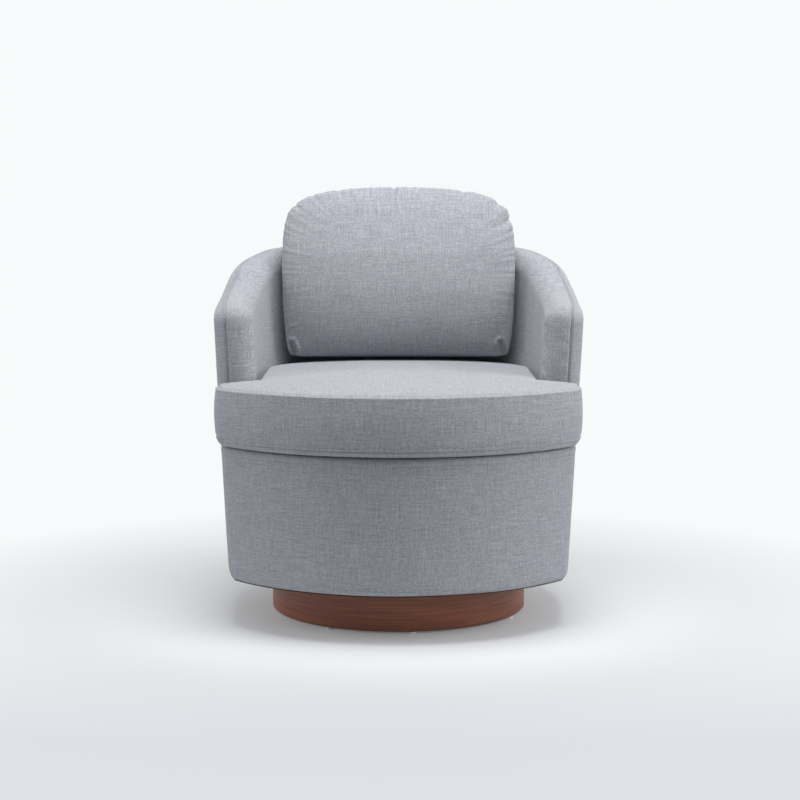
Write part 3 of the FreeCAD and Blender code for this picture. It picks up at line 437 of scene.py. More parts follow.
def settled(cloth, seed):
    # slight unevenness of padding under tight cloth
    points = pointsOf(cloth)
    push = covers["unevenness"] * waves(points, seed, covers["waveLength"])
    setPoints(cloth, points + normalsOf(cloth) * push[:, None])
    return cloth


def finished(cloth, sizes):
    # gives a cover its thickness, inwards
    applied(cloth, "SOLIDIFY", thickness=sizes["clothThick"], offset=-1)
    return smooth(cloth)


def seamLine():
    # the seam up one nose, along the crest and down the other nose
    seam = crestReach(covers["seamAngle"])[0]
    left = noseColumn(-1, seam, barrel["deckSeam"], covers["seamRows"])
    right = noseColumn(1, seam, barrel["deckSeam"], covers["seamRows"])
    crest = [crestSpot(station, *crestReach(covers["seamAngle"]))
             for station in spread(-noseDistance, noseDistance, covers["seamStep"])]
    return left + crest[1:-1] + right[::-1]


def makeOutsideCloth():
    rows = covers["outsideRows"]
    grid = [skirtColumn(station) + wallColumn(station, 1, barrel["deckSeam"], rows)
            for station in spread(-noseDistance, noseDistance, covers["columnStep"])]
    pieces = [meshFromGrid("outside_main", grid)]
    for side in (-1, 1):
        stations = spread(noseDistance, seamDistance, covers["columnStep"])
        pieces.append(meshFromGrid("outside_skirt", [skirtColumn(side * station) for station in stations]))
        grid = [noseColumn(side, outwards, barrel["deckSeam"], rows) for outwards in noseOffsets(1)]
        pieces.append(meshFromGrid("outside_nose", grid))
    whole = edited(joined("outside_cloth", pieces), weld(), facesOut())
    settled(whole, covers["wallSeed"])
    for side in (-1, 1):
        pressed(whole, sideSeam(side), covers["seamDepth"], covers["seamWidth"])
    pressed(whole, seamLine(), covers["seamDepth"], covers["seamWidth"])
    return finished(whole, covers)


def makeInsideCloth():
    low = barrel["deckLevel"] - covers["insideDrop"]
    rows = covers["insideRows"]
    grid = [wallColumn(station, -1, low, rows)
            for station in spread(-noseDistance, noseDistance, covers["columnStep"])]
    pieces = [meshFromGrid("inside_main", grid)]
    for side in (-1, 1):
        grid = [noseColumn(side, outwards, low, rows) for outwards in noseOffsets(-1)]
        pieces.append(meshFromGrid("inside_nose", grid))
    whole = edited(joined("inside_cloth", pieces), weld(), facesOut())
    settled(whole, covers["wallSeed"])
    puckered(whole)
    pressed(whole, seamLine(), covers["seamDepth"], covers["seamWidth"])
    return finished(whole, covers)


# small pulls beside the seam of the right arm: height and strength
puckers = {
    "spots": [(0.549, 0.0009), (0.522, 0.0012), (0.492, 0.0009)],
    "long": 0.026,
    "wide": 0.0055,
    "tilt": 0.45,
    "reach": 0.04,          # only this far before and behind the seam
    "start": 0.008,         # highest this far inwards of it
    "hollow": 0.7,          # the hollow over each pull, as a share of its height
    "hollowRise": 1.7,      # and how far over it, in widths
}


def puckered(cloth):
    points = pointsOf(cloth)
    normals = normalsOf(cloth)
    seam = noseColumn(1, crestReach(covers["seamAngle"])[0], barrel["deckSeam"], covers["seamRows"])
    for level, strength in puckers["spots"]:
        start = min(seam, key=lambda spot: abs(spot.z - level))
        inwards = start.x - points[:, 0]
        drop = points[:, 2] - start.z - puckers["tilt"] * inwards
        near = (np.abs(points[:, 1] - start.y) < puckers["reach"]) & (inwards > -covers["seamWidth"])
        share = hill(inwards - puckers["start"], puckers["long"] / 2) * near
        hollow = hill(drop - puckers["hollowRise"] * puckers["wide"], puckers["wide"])
        rise = hill(drop, puckers["wide"]) - puckers["hollow"] * hollow
        points += normals * (strength * share * rise)[:, None]
    setPoints(cloth, points)


def sideSeam(side):
    # down the side of the box, where the front cloth ends
    levels = spread(barrel["low"], barrel["deckSeam"], 0.02)
    return [skirtSpot(side * seamDistance, level) for level in levels]


def frontStations():
    # from the right side seam round the front to the left one
    stations = spread(seamDistance, 2 * halfRound - seamDistance, covers["columnStep"])
    return [station if station <= halfRound else station - 2 * halfRound for station in stations]


def frontSeam():
    # the level seam over the front, under the seat cushion
    return [skirtSpot(station, barrel["deckSeam"]) for station in frontStations()]


def makeFrontCloth():
    grid = [skirtColumn(station) for station in frontStations()]
    whole = edited(meshFromGrid("front_cloth", grid), weld(0.0001), facesOut())
    settled(whole, covers["frontSeed"])
    pressed(whole, frontSeam(), covers["seamDepth"], covers["seamWidth"])
    for side in (-1, 1):
        pressed(whole, sideSeam(side), covers["seamDepth"], covers["seamWidth"])
    return finished(whole, covers)


stitches = {
    "long": 0.0042,
    "pitch": 0.0062,
    "radius": 0.00055,
    "beside": 0.0038,       # distance from the seam
    "start": 0.2,           # share of the pitch before each stitch
    "raised": 0.4,          # how far its middle stands off the cloth, in radii
}


def makeStitches(name, cloths, line, shift):
    # short threads laid on the cloth beside a seam, shifted sideways from it
    trees = [BVHTree.FromObject(cloth, bpy.context.evaluated_depsgraph_get()) for cloth in cloths]
    spots = np.array([list(spot) for spot in line])
    reach = np.concatenate([[0], np.cumsum(np.linalg.norm(np.diff(spots, axis=0), axis=1))])
    curve = bpy.data.curves.new(name, "CURVE")
    curve.dimensions = "3D"
    curve.bevel_depth = stitches["radius"]
    curve.bevel_resolution = 2
    curve.use_fill_caps = True
    for i in range(int(reach[-1] / stitches["pitch"])):
        thread = curve.splines.new("POLY")
        thread.points.add(3)
        for number in range(4):
            at = (i + stitches["start"]) * stitches["pitch"] + stitches["long"] * number / 3
            here = Vector([np.interp(at, reach, spots[:, k]) for k in range(3)])
            here += Vector(shift(at / reach[-1]))
            place, normal, _, _ = min((tree.find_nearest(here) for tree in trees), key=lambda hit: hit[3])
            lift = stitches["radius"] * (stitches["raised"] if number in (1, 2) else -1)
            thread.points[number].co = (*(place + normal * lift), 1)
    carrier = bpy.data.objects.new(name + "_line", curve)
    mesh = bpy.data.meshes.new_from_object(carrier)
    bpy.data.objects.remove(carrier)
    mesh.name = name
    threads = bpy.data.objects.new(name, mesh)
    bpy.context.scene.collection.objects.link(threads)
    return smooth(threads)


def armShift(share):
    # sideways from the arm seam onto the outside cover, from the left nose to the right
    seamSpots = len(armSeam) - 1
    spot = armSeam[min(int(share * seamSpots), seamSpots)]
    away = Vector((spot.x, spot.y - barrel["backCentreY"], 0))
    if spot.y < noseY:
        away = Vector((spot.x, 0, 0))
    return away.normalized() * stitches["beside"]


# T-shaped outline shared by the deck and the seat cushion

def seatOutline(inset, level, tuck, earBack, earRound, step):
    # Points round the T shape: bowed front, ears in front of the arm noses and a
    # tongue between the arms with a round back. Counter-clockwise from the front.
    right = []
    depth = inset + drawnIn(level)
    for station in spread(halfRound, distanceAtY(earBack - earRound), step):
        place, out = planPoint(station)
        right.append(place - out * depth)
    corner = right[-1]
    for angle in (22, 45, 67, 90):
        turn = math.radians(angle)
        right.append(corner + Vector((-earRound * (1 - math.cos(turn)), earRound * math.sin(turn), 0)))
    innerSide = sideRadius - barrel["wallThick"] - tuck - drawnIn(level)
    rise = (noseY - barrel["backCentreY"]) / innerSide
    halfTongue = sideCentreX + math.sqrt(1 - rise * rise) * innerSide
    ear = right[-1]
    fillet = deckSizes["fillet"]
    for share in spread(ear.x, halfTongue + fillet, step)[1:]:
        right.append(Vector((share, ear.y, 0)))
    for angle in (30, 60, 90):
        turn = math.radians(angle)
        right.append(Vector((halfTongue + fillet - fillet * math.sin(turn),
                             ear.y + fillet - fillet * math.cos(turn), 0)))
    backRound = barrel["backRadius"] - barrel["wallThick"] - tuck - drawnIn(level)
    tongueBackY = barrel["backCentreY"] + math.sqrt(backRound ** 2 - halfTongue ** 2)
    for y in spread(ear.y + fillet, tongueBackY, step)[1:]:
        right.append(Vector((halfTongue, y, 0)))
    first = math.atan2(tongueBackY - barrel["backCentreY"], halfTongue)
    for angle in spread(first, math.pi / 2, step / backRound)[1:]:
        right.append(Vector((backRound * math.cos(angle),
                             barrel["backCentreY"] + backRound * math.sin(angle), 0)))
    left = [Vector((-spot.x, spot.y, 0)) for spot in reversed(right[1:-1])]
    return right + left


def even(outline, count):
    # the same closed outline with evenly spaced points
    spots = [Vector(spot) for spot in outline] + [Vector(outline[0])]
    reach = [0.0]
    for before, after in zip(spots, spots[1:]):
        reach.append(reach[-1] + (after - before).length)
    flat = np.array([list(spot) for spot in spots])
    wanted = np.linspace(0, reach[-1], count, endpoint=False)
    return np.stack([np.interp(wanted, reach, flat[:, k]) for k in range(3)], 1)


deckSizes = {
    "centre": (0, -0.2),
    "rings": 30,
    "points": 280,
    "round": 0.012,
    "fillet": 0.012,        # the inner corner between an ear and the tongue
    "tuck": 0.004,          # how far it goes under the inside cover
    "earGap": 0.004,
    "earRound": 0.006,
    "edge": 0.003,
    "step": 0.01,
}


def makeDeckCloth():
    level = barrel["deckLevel"]
    outline = seatOutline(deckSizes["round"], level, -deckSizes["tuck"], noseY + deckSizes["earGap"],
                          deckSizes["earRound"], deckSizes["step"])
    outline = even(outline, deckSizes["points"])
    middle = np.array([*deckSizes["centre"], level])
    outline[:, 2] = level
    rings = [middle + (outline - middle) * (ring + 0.5) / (deckSizes["rings"] + 0.5)
             for ring in range(deckSizes["rings"] + 1)]
    before = np.roll(outline, 1, 0)
    after = np.roll(outline, -1, 0)
    along = after - before
    away = np.stack([along[:, 1], -along[:, 0], np.zeros(len(outline))], 1)
    away /= np.linalg.norm(away, axis=1)[:, None]
    bend = deckSizes["round"]
    for angle in (22, 45, 67, 90):
        turn = math.radians(angle)
        rings.append(outline + away * bend * math.sin(turn) - [0, 0, bend * (1 - math.cos(turn))])
    rings.append(outline + away * bend - [0, 0, bend + deckSizes["edge"]])
    deck = meshFromGrid("deck_cloth_top", rings, closed=True)
    return edited(filled(deck, deckSizes["points"], bothEnds=False), weld(), facesOut())


def filled(piece, count, bothEnds=True):
    # closes the hole inside the first ring with one point, and inside the last ring too
    points = pointsOf(piece).tolist()
    faces = [list(face.vertices) for face in piece.data.polygons]
    total = len(points)
    points.append(np.mean(points[:count], axis=0).tolist())
    faces += [[(i + 1) % count, i, total] for i in range(count)]
    if bothEnds:
        first = total - count
        points.append(np.mean(points[first:total], axis=0).tolist())
        faces += [[first + i, first + (i + 1) % count, total + 1] for i in range(count)]
    name = piece.name
    bpy.data.objects.remove(piece)
    return meshFromData(name, points, faces)


# seat cushion

seatCushion = {
    "low": 0.347,
    "topSeam": 0.1085,     # height over low
    "bottomSeam": 0.0105,
    "edge": 0.4555,
    "crown": 0.4812,
    "puff": 0.0022,
    "puffWidth": 0.03,
    "gap": 0.0025,
    "earBack": -0.1525,
    "earRound": 0.013,
    "points": 460,
    "topRings": 44,
    "centre": (0, -0.2),
    "unevenness": 0.0009,
    "waveLength": 0.13,
    "waveSeed": 11,
    "bottomRings": 20,
    "bottomInset": 0.016,
    "rimRise": 0.0016,     # the cloth swells this much right beside the top seam
    "rimWidth": 0.002,
}


def seatProfile():
    # height over the bottom and inset, from the bottom face to the top seam
    low = seatCushion["bottomSeam"]
    top = seatCushion["topSeam"]
    profile = [(0, seatCushion["bottomInset"]), (0.0010, 0.0115), (0.0035, 0.0075), (0.0065, 0.0048)]
    # rise over the bottom seam and inset, over the seam's groove and the stitched line above it
    beside = [(-0.0016, 0.0036), (-0.0006, 0.0040), (0, 0.0048), (0.0006, 0.0034), (0.0018, 0.0020),
              (0.0040, 0.0020), (0.0052, 0.0025), (0.0060, 0.0029), (0.0068, 0.0025), (0.0080, 0.0020)]
    profile += [(low + rise, inset) for rise, inset in beside]
    for share in np.linspace(0.11, 0.95, 17):
        profile.append((low + (top - low) * share, 0.0028 - 0.0042 * math.sin(math.pi * share) ** 0.7))
    profile += [(top - 0.0030, 0.0016), (top - 0.0016, 0.0020), (top - 0.0007, 0.0036), (top, 0.0062)]
    return profile


def seatRing(level, inset):
    size = seatCushion
    outline = seatOutline(inset - drawnIn(level), level, size["gap"] + inset, size["earBack"] - inset,
                          max(size["earRound"] - inset, 0.004), 0.01)
    ring = even(outline, size["points"])
    ring[:, 2] = level
    return ring


def seatTop(points):
    # a sphere about the middle of the front bow, so that the seam stays level
    rise = seatCushion["crown"] - seatCushion["edge"]
    radius = (bowRadius ** 2 + rise ** 2) / (2 * rise)
    away = points[:, 0] ** 2 + (points[:, 1] - bowCentreY) ** 2
    return seatCushion["crown"] - radius + np.sqrt(radius ** 2 - away)


def makeSeatCushion():
    size = seatCushion
    middle = np.array([*size["centre"], 0])
    rings = []
    foot = seatRing(size["low"], size["bottomInset"])
    for share in np.linspace(0.03, 0.97, size["bottomRings"]):
        ring = middle + (foot - middle) * share
        ring[:, 2] = size["low"]
        rings.append(ring)
    for rise, inset in seatProfile():
        rings.append(seatRing(size["low"] + rise, inset))
    rim = rings[-1]
    steps = [0.0022, 0.004, 0.008, 0.014]
    shares = [1 - step / 0.2 for step in steps] + list(np.linspace(0.90, 0.03, size["topRings"]))
    for share in shares:
        ring = middle + (rim - middle) * share
        inwards = np.linalg.norm(ring[:, :2] - rim[:, :2], axis=1)
        rise = size["puff"] * (1 - np.exp(-(inwards / size["puffWidth"])))
        rise += size["rimRise"] * (1 - np.exp(-inwards / size["rimWidth"]))
        ring[:, 2] = seatTop(ring) + rise
        rings.append(ring)
    cushion = filled(meshFromGrid("seat_cushion", rings, closed=True), size["points"])
    edited(cushion, weld(0.0001), facesOut())
    points = pointsOf(cushion)
    push = size["unevenness"] * waves(points, size["waveSeed"], size["waveLength"])
    push *= eased((points[:, 2] - size["low"] - 0.02) / 0.02)
    setPoints(cushion, points + normalsOf(cushion) * push[:, None])
    return smooth(cushion)


# back cushion

backCushion = {
    "across": 96,           # squares of its mesh, each way
    "up": 72,
    "frontDepth": 0.060,
    "backDepth": 0.132,
    "frontLean": 0.64,      # how much thinner it gets towards its top, in front and behind
    "backLean": 0.20,
    "roundness": 3.4,
    "fullness": 0.50,
    "growth": 1.014,
    "pressure": 4.0,
    "frames": 20,
    "cap": 0.012,
    "evened": 60,           # how often the simulated move is averaged with its neighbours
    # outline of the right half from the bottom middle to the top middle, as x and z
    "outline": [(0, 0.4885), (0.17, 0.4885), (0.212, 0.4890), (0.227, 0.495), (0.234, 0.520),
                (0.239, 0.57), (0.242, 0.63), (0.242, 0.70), (0.239, 0.752), (0.229, 0.788),
                (0.209, 0.811), (0.165, 0.829), (0.10, 0.838), (0, 0.8415)],
    "corners": [(-0.226, 0.494), (0.226, 0.494), (0.226, 0.792), (-0.226, 0.792)],
    "middle": 0.655,        # height of its middle
    "halfWidth": 0.245,
    "seamLevels": [0.48, 0.52, 0.60, 0.70, 0.793, 0.841],
    "seamDepths": [0.138, 0.142, 0.150, 0.154, 0.168, 0.181],
    # deep gathers of the top edge, as x, z, depth and half width
    "notches": [(-0.209, 0.797, 0.0024, 0.006), (-0.122, 0.834, 0.0014, 0.006),
                (-0.0095, 0.841, 0.0030, 0.006), (0.137, 0.834, 0.0028, 0.007),
                (0.206, 0.803, 0.0044, 0.008), (0.229, 0.771, 0.0036, 0.007)],
    "notchReach": 0.022,
    "gatherPitch": 0.017,
    "gatherDepth": 0.00045,
    "gatherReach": 0.034,
    # pleats at the lower corners: start x and z, end x and z, depth, half width
    "pleats": [(-0.221, 0.518, -0.211, 0.489, 0.0090, 0.0042), (0.210, 0.520, 0.219, 0.489, 0.0086, 0.0042),
               (0.200, 0.506, 0.211, 0.490, 0.0034, 0.0055)],
}


def pillowOutline():
    # a smooth closed line through the outline's control points, as x and z
    half = backCushion["outline"]
    spots = half + [(-x, z) for x, z in reversed(half[1:-1])]
    curve = bpy.data.curves.new("pillow_line", "CURVE")
    curve.dimensions = "3D"
    curve.resolution_u = 24
    line = curve.splines.new("NURBS")
    line.points.add(len(spots) - 1)
    for point, (x, z) in zip(line.points, spots):
        point.co = (x, 0, z, 1)
    line.order_u = 3
    line.use_cyclic_u = True
    carrier = bpy.data.objects.new("pillow_line", curve)
    mesh = bpy.data.meshes.new_from_object(carrier)
    ring = [Vector(vertex.co) for vertex in mesh.vertices]
    bpy.data.objects.remove(carrier)
    return ring


def pillowSides():
    # the outline cut at four places near its corners: bottom, right, top and left
    ring = np.array([[spot.x, spot.z] for spot in pillowOutline()])
    cuts = []
    for x, z in backCushion["corners"]:
        cuts.append(int(np.argmin(np.hypot(ring[:, 0] - x, ring[:, 1] - z))))
    sides = []
    for i, start in enumerate(cuts):
        end = cuts[(i + 1) % 4]
        steps = (end - start) % len(ring)
        part = ring[[(start + k) % len(ring) for k in range(steps + 1)]]
        reach = np.concatenate([[0], np.cumsum(np.linalg.norm(np.diff(part, axis=0), axis=1))])
        count = backCushion["across"] if i % 2 == 0 else backCushion["up"]
        wanted = np.linspace(0, reach[-1], count + 1)
        sides.append(np.stack([np.interp(wanted, reach, part[:, k]) for k in range(2)], 1))
    return sides


def makeBackCushion():
    size = backCushion
    bottom, right, top, left = pillowSides()
    top, left = top[::-1], left[::-1]
    u = np.linspace(0, 1, size["across"] + 1)[:, None, None]
    v = np.linspace(0, 1, size["up"] + 1)[None, :, None]
    flat = (1 - v) * bottom[:, None] + v * top[:, None] + (1 - u) * left[None] + u * right[None]
    flat -= (1 - u) * (1 - v) * bottom[0] + u * (1 - v) * bottom[-1]
    flat -= (1 - u) * v * top[0] + u * v * top[-1]
    full = (1 - np.abs(2 * u - 1) ** size["roundness"]) * (1 - np.abs(2 * v - 1) ** size["roundness"])
    full = (np.clip(full, 0, 1) ** size["fullness"])[:, :, 0]
    seam = np.interp(flat[:, :, 1], size["seamLevels"], size["seamDepths"])
    halves = []
    for side, depth in ((-1, size["frontDepth"]), (1, size["backDepth"])):
        thinner = size["frontLean"] if side < 0 else size["backLean"]
        lean = 1 - thinner * eased((flat[:, :, 1] - 0.50) / 0.38)
        grid = np.stack([flat[:, :, 0], seam + side * depth * full * lean, flat[:, :, 1]], 2)
        halves.append(meshFromGrid("pillow_half", grid))
    cushion = edited(joined("back_cushion", halves), weld(0.0001), facesOut())
    start = pointsOf(cushion)
    sides = np.concatenate([bottom, right, top, left])
    away = KDTree(len(sides))
    for i, (x, z) in enumerate(sides):
        away.insert((x, 0, z), i)
    away.balance()
    rim = np.array([away.find((x, 0, z))[2] for x, _, z in start])
    puff(cushion, [i for i in range(len(start)) if rim[i] < 1e-4], size)
    applied(cushion, "SUBSURF", levels=1)
    return smooth(sewn(cushion, away))


def sewn(cushion, away):
    # gathers along the knife edge, deeper notches, and pleats at the lower corners
    size = backCushion
    points = pointsOf(cushion)
    rim = np.array([away.find((x, 0, z))[2] for x, _, z in points])
    outline = np.arctan2(points[:, 2] - size["middle"], points[:, 0]) * size["halfWidth"]
    chance = random.Random(7)
    wave = np.zeros(len(points))
    for part in (1.0, 0.71, 1.37):
        wave += np.sin(outline * 2 * math.pi / (size["gatherPitch"] * part) + chance.uniform(0, 6))
    fade = np.exp(-rim / size["gatherReach"]) * (1 - np.exp(-(rim + 0.0015) / 0.003))
    higher = 0.35 + 0.65 * eased((points[:, 2] - 0.60) / 0.15)
    push = size["gatherDepth"] * wave * fade * higher
    for x, z, depth, wide in size["notches"]:
        spot = np.hypot(points[:, 0] - x, points[:, 2] - z)
        along = outline - math.atan2(z - size["middle"], x) * size["halfWidth"]
        push -= depth * hill(along, wide) * np.exp(-spot / size["notchReach"])
    points += normalsOf(cushion) * push[:, None]
    for x, z, depth, wide in size["notches"]:
        along = outline - math.atan2(z - size["middle"], x) * size["halfWidth"]
        inwards = np.array([-x, 0.0, size["middle"] - z]) / math.hypot(x, z - size["middle"])
        points += inwards * (0.75 * depth * hill(along, 0.8 * wide) * np.exp(-rim / 0.006))[:, None]
    front = points[:, 1] < np.interp(points[:, 2], size["seamLevels"], size["seamDepths"]) + 0.004
    flat = points * [1, 0, 1]
    for x0, z0, x1, z1, depth, wide in size["pleats"]:
        distance, share = toLine(flat, [(x0, 0, z0), (x1, 0, z1)])
        swell = hill(distance, wide) - 0.35 * hill(distance - 2.2 * wide, wide)
        points[:, 1] += front * depth * swell * (0.45 + 0.55 * np.sin(math.pi * np.clip(share + 0.15, 0, 1)))
    soft = waves(points, 21, 0.19) * 0.0022 * eased(rim / 0.05)
    points[:, 1] += front * soft
    setPoints(cushion, points)
    return cushion


def puff(piece, held, size):
    # air pressure in cloth that is cut a little larger than it is held
    before = pointsOf(piece)
    middle = before.mean(0)
    piece.shape_key_add(name="start")
    cutShape = piece.shape_key_add(name="cut")
    wider = middle + (before - middle) * [size["growth"], 1, size["growth"]]
    cutShape.data.foreach_set("co", wider.ravel())
    group = piece.vertex_groups.new(name="held")
    group.add(list(held), 1.0, "REPLACE")
    cloth = piece.modifiers.new("Cloth", "CLOTH")
    cloth.settings.rest_shape_key = cutShape
    cloth.settings.vertex_group_mass = "held"
    cloth.settings.use_pressure = True
    cloth.settings.uniform_pressure_force = size["pressure"]
    cloth.settings.quality = 6
    cloth.settings.bending_stiffness = 0.4
    cloth.settings.effector_weights.gravity = 0
    cloth.collision_settings.use_collision = False
    cloth.point_cache.frame_end = size["frames"]
    scene = bpy.context.scene
    for number in range(1, size["frames"] + 1):
        scene.frame_set(number)
    shown = piece.evaluated_get(bpy.context.evaluated_depsgraph_get())
    after = np.zeros(len(before) * 3)
    shown.data.vertices.foreach_get("co", after)
    move = after.reshape(-1, 3) - before
    far = np.linalg.norm(move, axis=1)
    print("cloth moved", round(far.max() * 1000, 1), "mm at most,", round(far.mean() * 1000, 1), "on average")
    move *= np.minimum(1, size["cap"] / np.maximum(far, 1e-9))[:, None]
    move = averaged(piece, move, held, size["evened"])
    piece.modifiers.remove(cloth)
    piece.shape_key_clear()
    piece.vertex_groups.clear()
    scene.frame_set(1)
    setPoints(piece, before + move)


def averaged(piece, move, held, times):
    # takes the small folds out of a simulated move, and leaves the held points alone
    ends = np.array([list(edge.vertices) for edge in piece.data.edges])
    near = np.zeros(len(move))
    np.add.at(near, ends.ravel(), 1)
    for _ in range(times):
        total = np.zeros_like(move)
        np.add.at(total, ends[:, 0], move[ends[:, 1]])
        np.add.at(total, ends[:, 1], move[ends[:, 0]])
        move = total / near[:, None]
        move[list(held)] = 0
    return move


# materials

def add(tree, kind, inputs=(), **settings):
    # one node; an input that is a socket is linked, any other is set
    made = tree.nodes.new(kind)
    for key, value in settings.items():
        setattr(made, key, value)
    for key, value in dict(inputs).items():
        if isinstance(value, bpy.types.NodeSocket):
            tree.links.new(value, made.inputs[key])
        else:
            made.inputs[key].default_value = value
    return made


def sums(tree, operation, *values):
    return add(tree, "ShaderNodeMath", enumerate(values), operation=operation).outputs[0]


def speckle(tree, where, scale, detail=2.0, stretch=(1, 1, 1)):
    at = add(tree, "ShaderNodeMapping", {"Vector": where, "Scale": stretch}).outputs[0]
    return add(tree, "ShaderNodeTexNoise", {"Vector": at, "Scale": scale, "Detail": detail}).outputs[0]


def shades(tree, factor, *stops):
    ramp = add(tree, "ShaderNodeValToRGB", {0: factor})
    line = ramp.color_ramp.elements
    for place, (position, colour) in enumerate(stops):
        stop = line[place] if place < 2 else line.new(position)
        stop.position = position
        stop.color = (*colour, 1)
    return ramp.outputs[0]


def mixed(tree, factor, first, second, blend="MIX"):
    made = add(tree, "ShaderNodeMix", data_type="RGBA", blend_type=blend)
    for place, value in ((0, factor), (6, first), (7, second)):
        if isinstance(value, bpy.types.NodeSocket):
            tree.links.new(value, made.inputs[place])
        else:
            made.inputs[place].default_value = value if place == 0 else (*value, 1)
    return made.outputs[2]


def newFinish(name, colour=None, height=None, bump=0.2, distance=0.001, **sockets):
    # a material whose shader takes a colour and a height from its builder
    material = bpy.data.materials.new(name)
    material.use_nodes = True
    tree = material.node_tree
    shader = tree.nodes["Principled BSDF"]
    for key, value in sockets.items():
        shader.inputs[key.replace("_", " ")].default_value = value
    where = add(tree, "ShaderNodeTexCoord").outputs["Object"]
    if colour:
        tree.links.new(colour(tree, where), shader.inputs["Base Color"])
    if height:
        lumps = add(tree, "ShaderNodeBump",
                    {"Height": height(tree, where), "Strength": bump, "Distance": distance})
        tree.links.new(lumps.outputs[0], shader.inputs["Normal"])
    return material


weave = {
    "thread": 0.0018,
    "aroundRadius": 0.36,
    "aroundCentreY": 0.02,
    "frontReach": 0.40,     # from that centre to the front of the seat
    "light": (0.415, 0.425, 0.455),
    "dark": (0.235, 0.243, 0.265),
    "slub": (0.52, 0.53, 0.56),
    "level": 0.72,          # a face whose normal stands up more than this is woven seen from above
    "sideways": 0.8,
    "drift": 0.0016,        # how far the threads wander
    "yarn": (760, 26, 1),   # how fine the shades are across and along a thread
    "slubs": (420, 9, 1),
}


def weaveSpot(tree, where, flat):
    # cloth coordinates: along the weft and along the warp, in metres
    parts = add(tree, "ShaderNodeSeparateXYZ", {0: where}).outputs
    normal = add(tree, "ShaderNodeNewGeometry").outputs["Normal"]
    normal = add(tree, "ShaderNodeSeparateXYZ", {0: normal}).outputs
    level = sums(tree, "GREATER_THAN", sums(tree, "ABSOLUTE", normal[2]), weave["level"])
    if flat:
        sideways = sums(tree, "GREATER_THAN", sums(tree, "ABSOLUTE", normal[0]), weave["sideways"])
        round_ = add(tree, "ShaderNodeMix", {0: sideways, 2: parts[0], 3: parts[1]}).outputs[0]
    else:
        ahead = sums(tree, "SUBTRACT", weave["aroundCentreY"], parts[1])
        round_ = sums(tree, "MULTIPLY", sums(tree, "ARCTAN2", parts[0], ahead), weave["aroundRadius"])
        plan = add(tree, "ShaderNodeCombineXYZ", {0: parts[0], 1: ahead}).outputs[0]
        reach = add(tree, "ShaderNodeVectorMath", {0: plan}, operation="LENGTH").outputs["Value"]
        # keeps the threads going round the nose of an arm, where the angle alone turns back
        outwards = sums(tree, "MULTIPLY", sums(tree, "SUBTRACT", reach, weave["frontReach"]),
                        sums(tree, "SIGN", parts[0]))
        round_ = sums(tree, "ADD", round_, outwards)
    across = add(tree, "ShaderNodeMix", {0: level, 2: round_, 3: parts[0]}).outputs[0]
    along = add(tree, "ShaderNodeMix", {0: level, 2: parts[2], 3: parts[1]}).outputs[0]
    drift = speckle(tree, where, 90, 1.0)
    drift = sums(tree, "MULTIPLY", sums(tree, "SUBTRACT", drift, 0.5), weave["drift"])
    return sums(tree, "ADD", across, drift), sums(tree, "ADD", along, drift)


def weaveHeight(tree, across, along):
    # threads over and under each other
    waveA = sums(tree, "SINE", sums(tree, "MULTIPLY", across, math.pi / weave["thread"]))
    waveB = sums(tree, "SINE", sums(tree, "MULTIPLY", along, math.pi / weave["thread"]))
    both = sums(tree, "MULTIPLY", waveA, waveB)
    warp = sums(tree, "ADD", sums(tree, "ABSOLUTE", waveA), both)
    weft = sums(tree, "SUBTRACT", sums(tree, "ABSOLUTE", waveB), both)
    return warp, weft, sums(tree, "MULTIPLY", sums(tree, "MAXIMUM", warp, weft), 0.5)


def clothFinish(name, flat):
    material = bpy.data.materials.new(name)
    material.use_nodes = True
    tree = material.node_tree
    shader = tree.nodes["Principled BSDF"]
    for key, value in (("Roughness", 0.9), ("Specular IOR Level", 0.2), ("Sheen Weight", 0.22),
                       ("Sheen Roughness", 0.45)):
        shader.inputs[key].default_value = value
    where = add(tree, "ShaderNodeTexCoord").outputs["Object"]
    across, along = weaveSpot(tree, where, flat)
    warp, weft, height = weaveHeight(tree, across, along)
    cloth = add(tree, "ShaderNodeCombineXYZ", {0: across, 1: along}).outputs[0]
    warpYarn = speckle(tree, cloth, 1, 2.0, weave["yarn"])
    weftYarn = speckle(tree, cloth, 1, 2.0, (22, 760, 1))
    onTop = sums(tree, "GREATER_THAN", warp, weft)
    yarn = add(tree, "ShaderNodeMix", {0: onTop, 2: weftYarn, 3: warpYarn}).outputs[0]
    colour = shades(tree, yarn, (0.30, weave["dark"]), (0.62, weave["light"]))
    slubs = sums(tree, "MAXIMUM", speckle(tree, cloth, 1, 1.0, weave["slubs"]),
                 speckle(tree, cloth, 1, 1.0, (8, 420, 1)))
    slubs = shades(tree, slubs, (0.66, (0, 0, 0)), (0.80, (1, 1, 1)))
    colour = mixed(tree, sums(tree, "MULTIPLY", slubs, 0.55), colour, weave["slub"])
    mottle = speckle(tree, cloth, 230, 3.0)
    mottle = shades(tree, mottle, (0.32, (0.36, 0.36, 0.37)), (0.68, (0.64, 0.64, 0.64)))
    colour = mixed(tree, 0.5, colour, mottle, "OVERLAY")
    # painted shade: the weave colour is darkened where its height is low, in the hollows between threads
    hollow = shades(tree, height, (0.10, (0.45, 0.45, 0.46)), (0.55, (1, 1, 1)))
    colour = mixed(tree, 0.8, colour, hollow, "MULTIPLY")
    tree.links.new(colour, shader.inputs["Base Color"])
    fuzz = speckle(tree, cloth, 1500, 2.0)
    total = sums(tree, "ADD", height, sums(tree, "MULTIPLY", fuzz, 0.35))
    total = sums(tree, "ADD", total, sums(tree, "MULTIPLY", slubs, 0.5))
    lumps = add(tree, "ShaderNodeBump", {"Height": total, "Strength": 0.45, "Distance": 0.0006})
    tree.links.new(lumps.outputs[0], shader.inputs["Normal"])
    return material


veneerRadius = 0.25


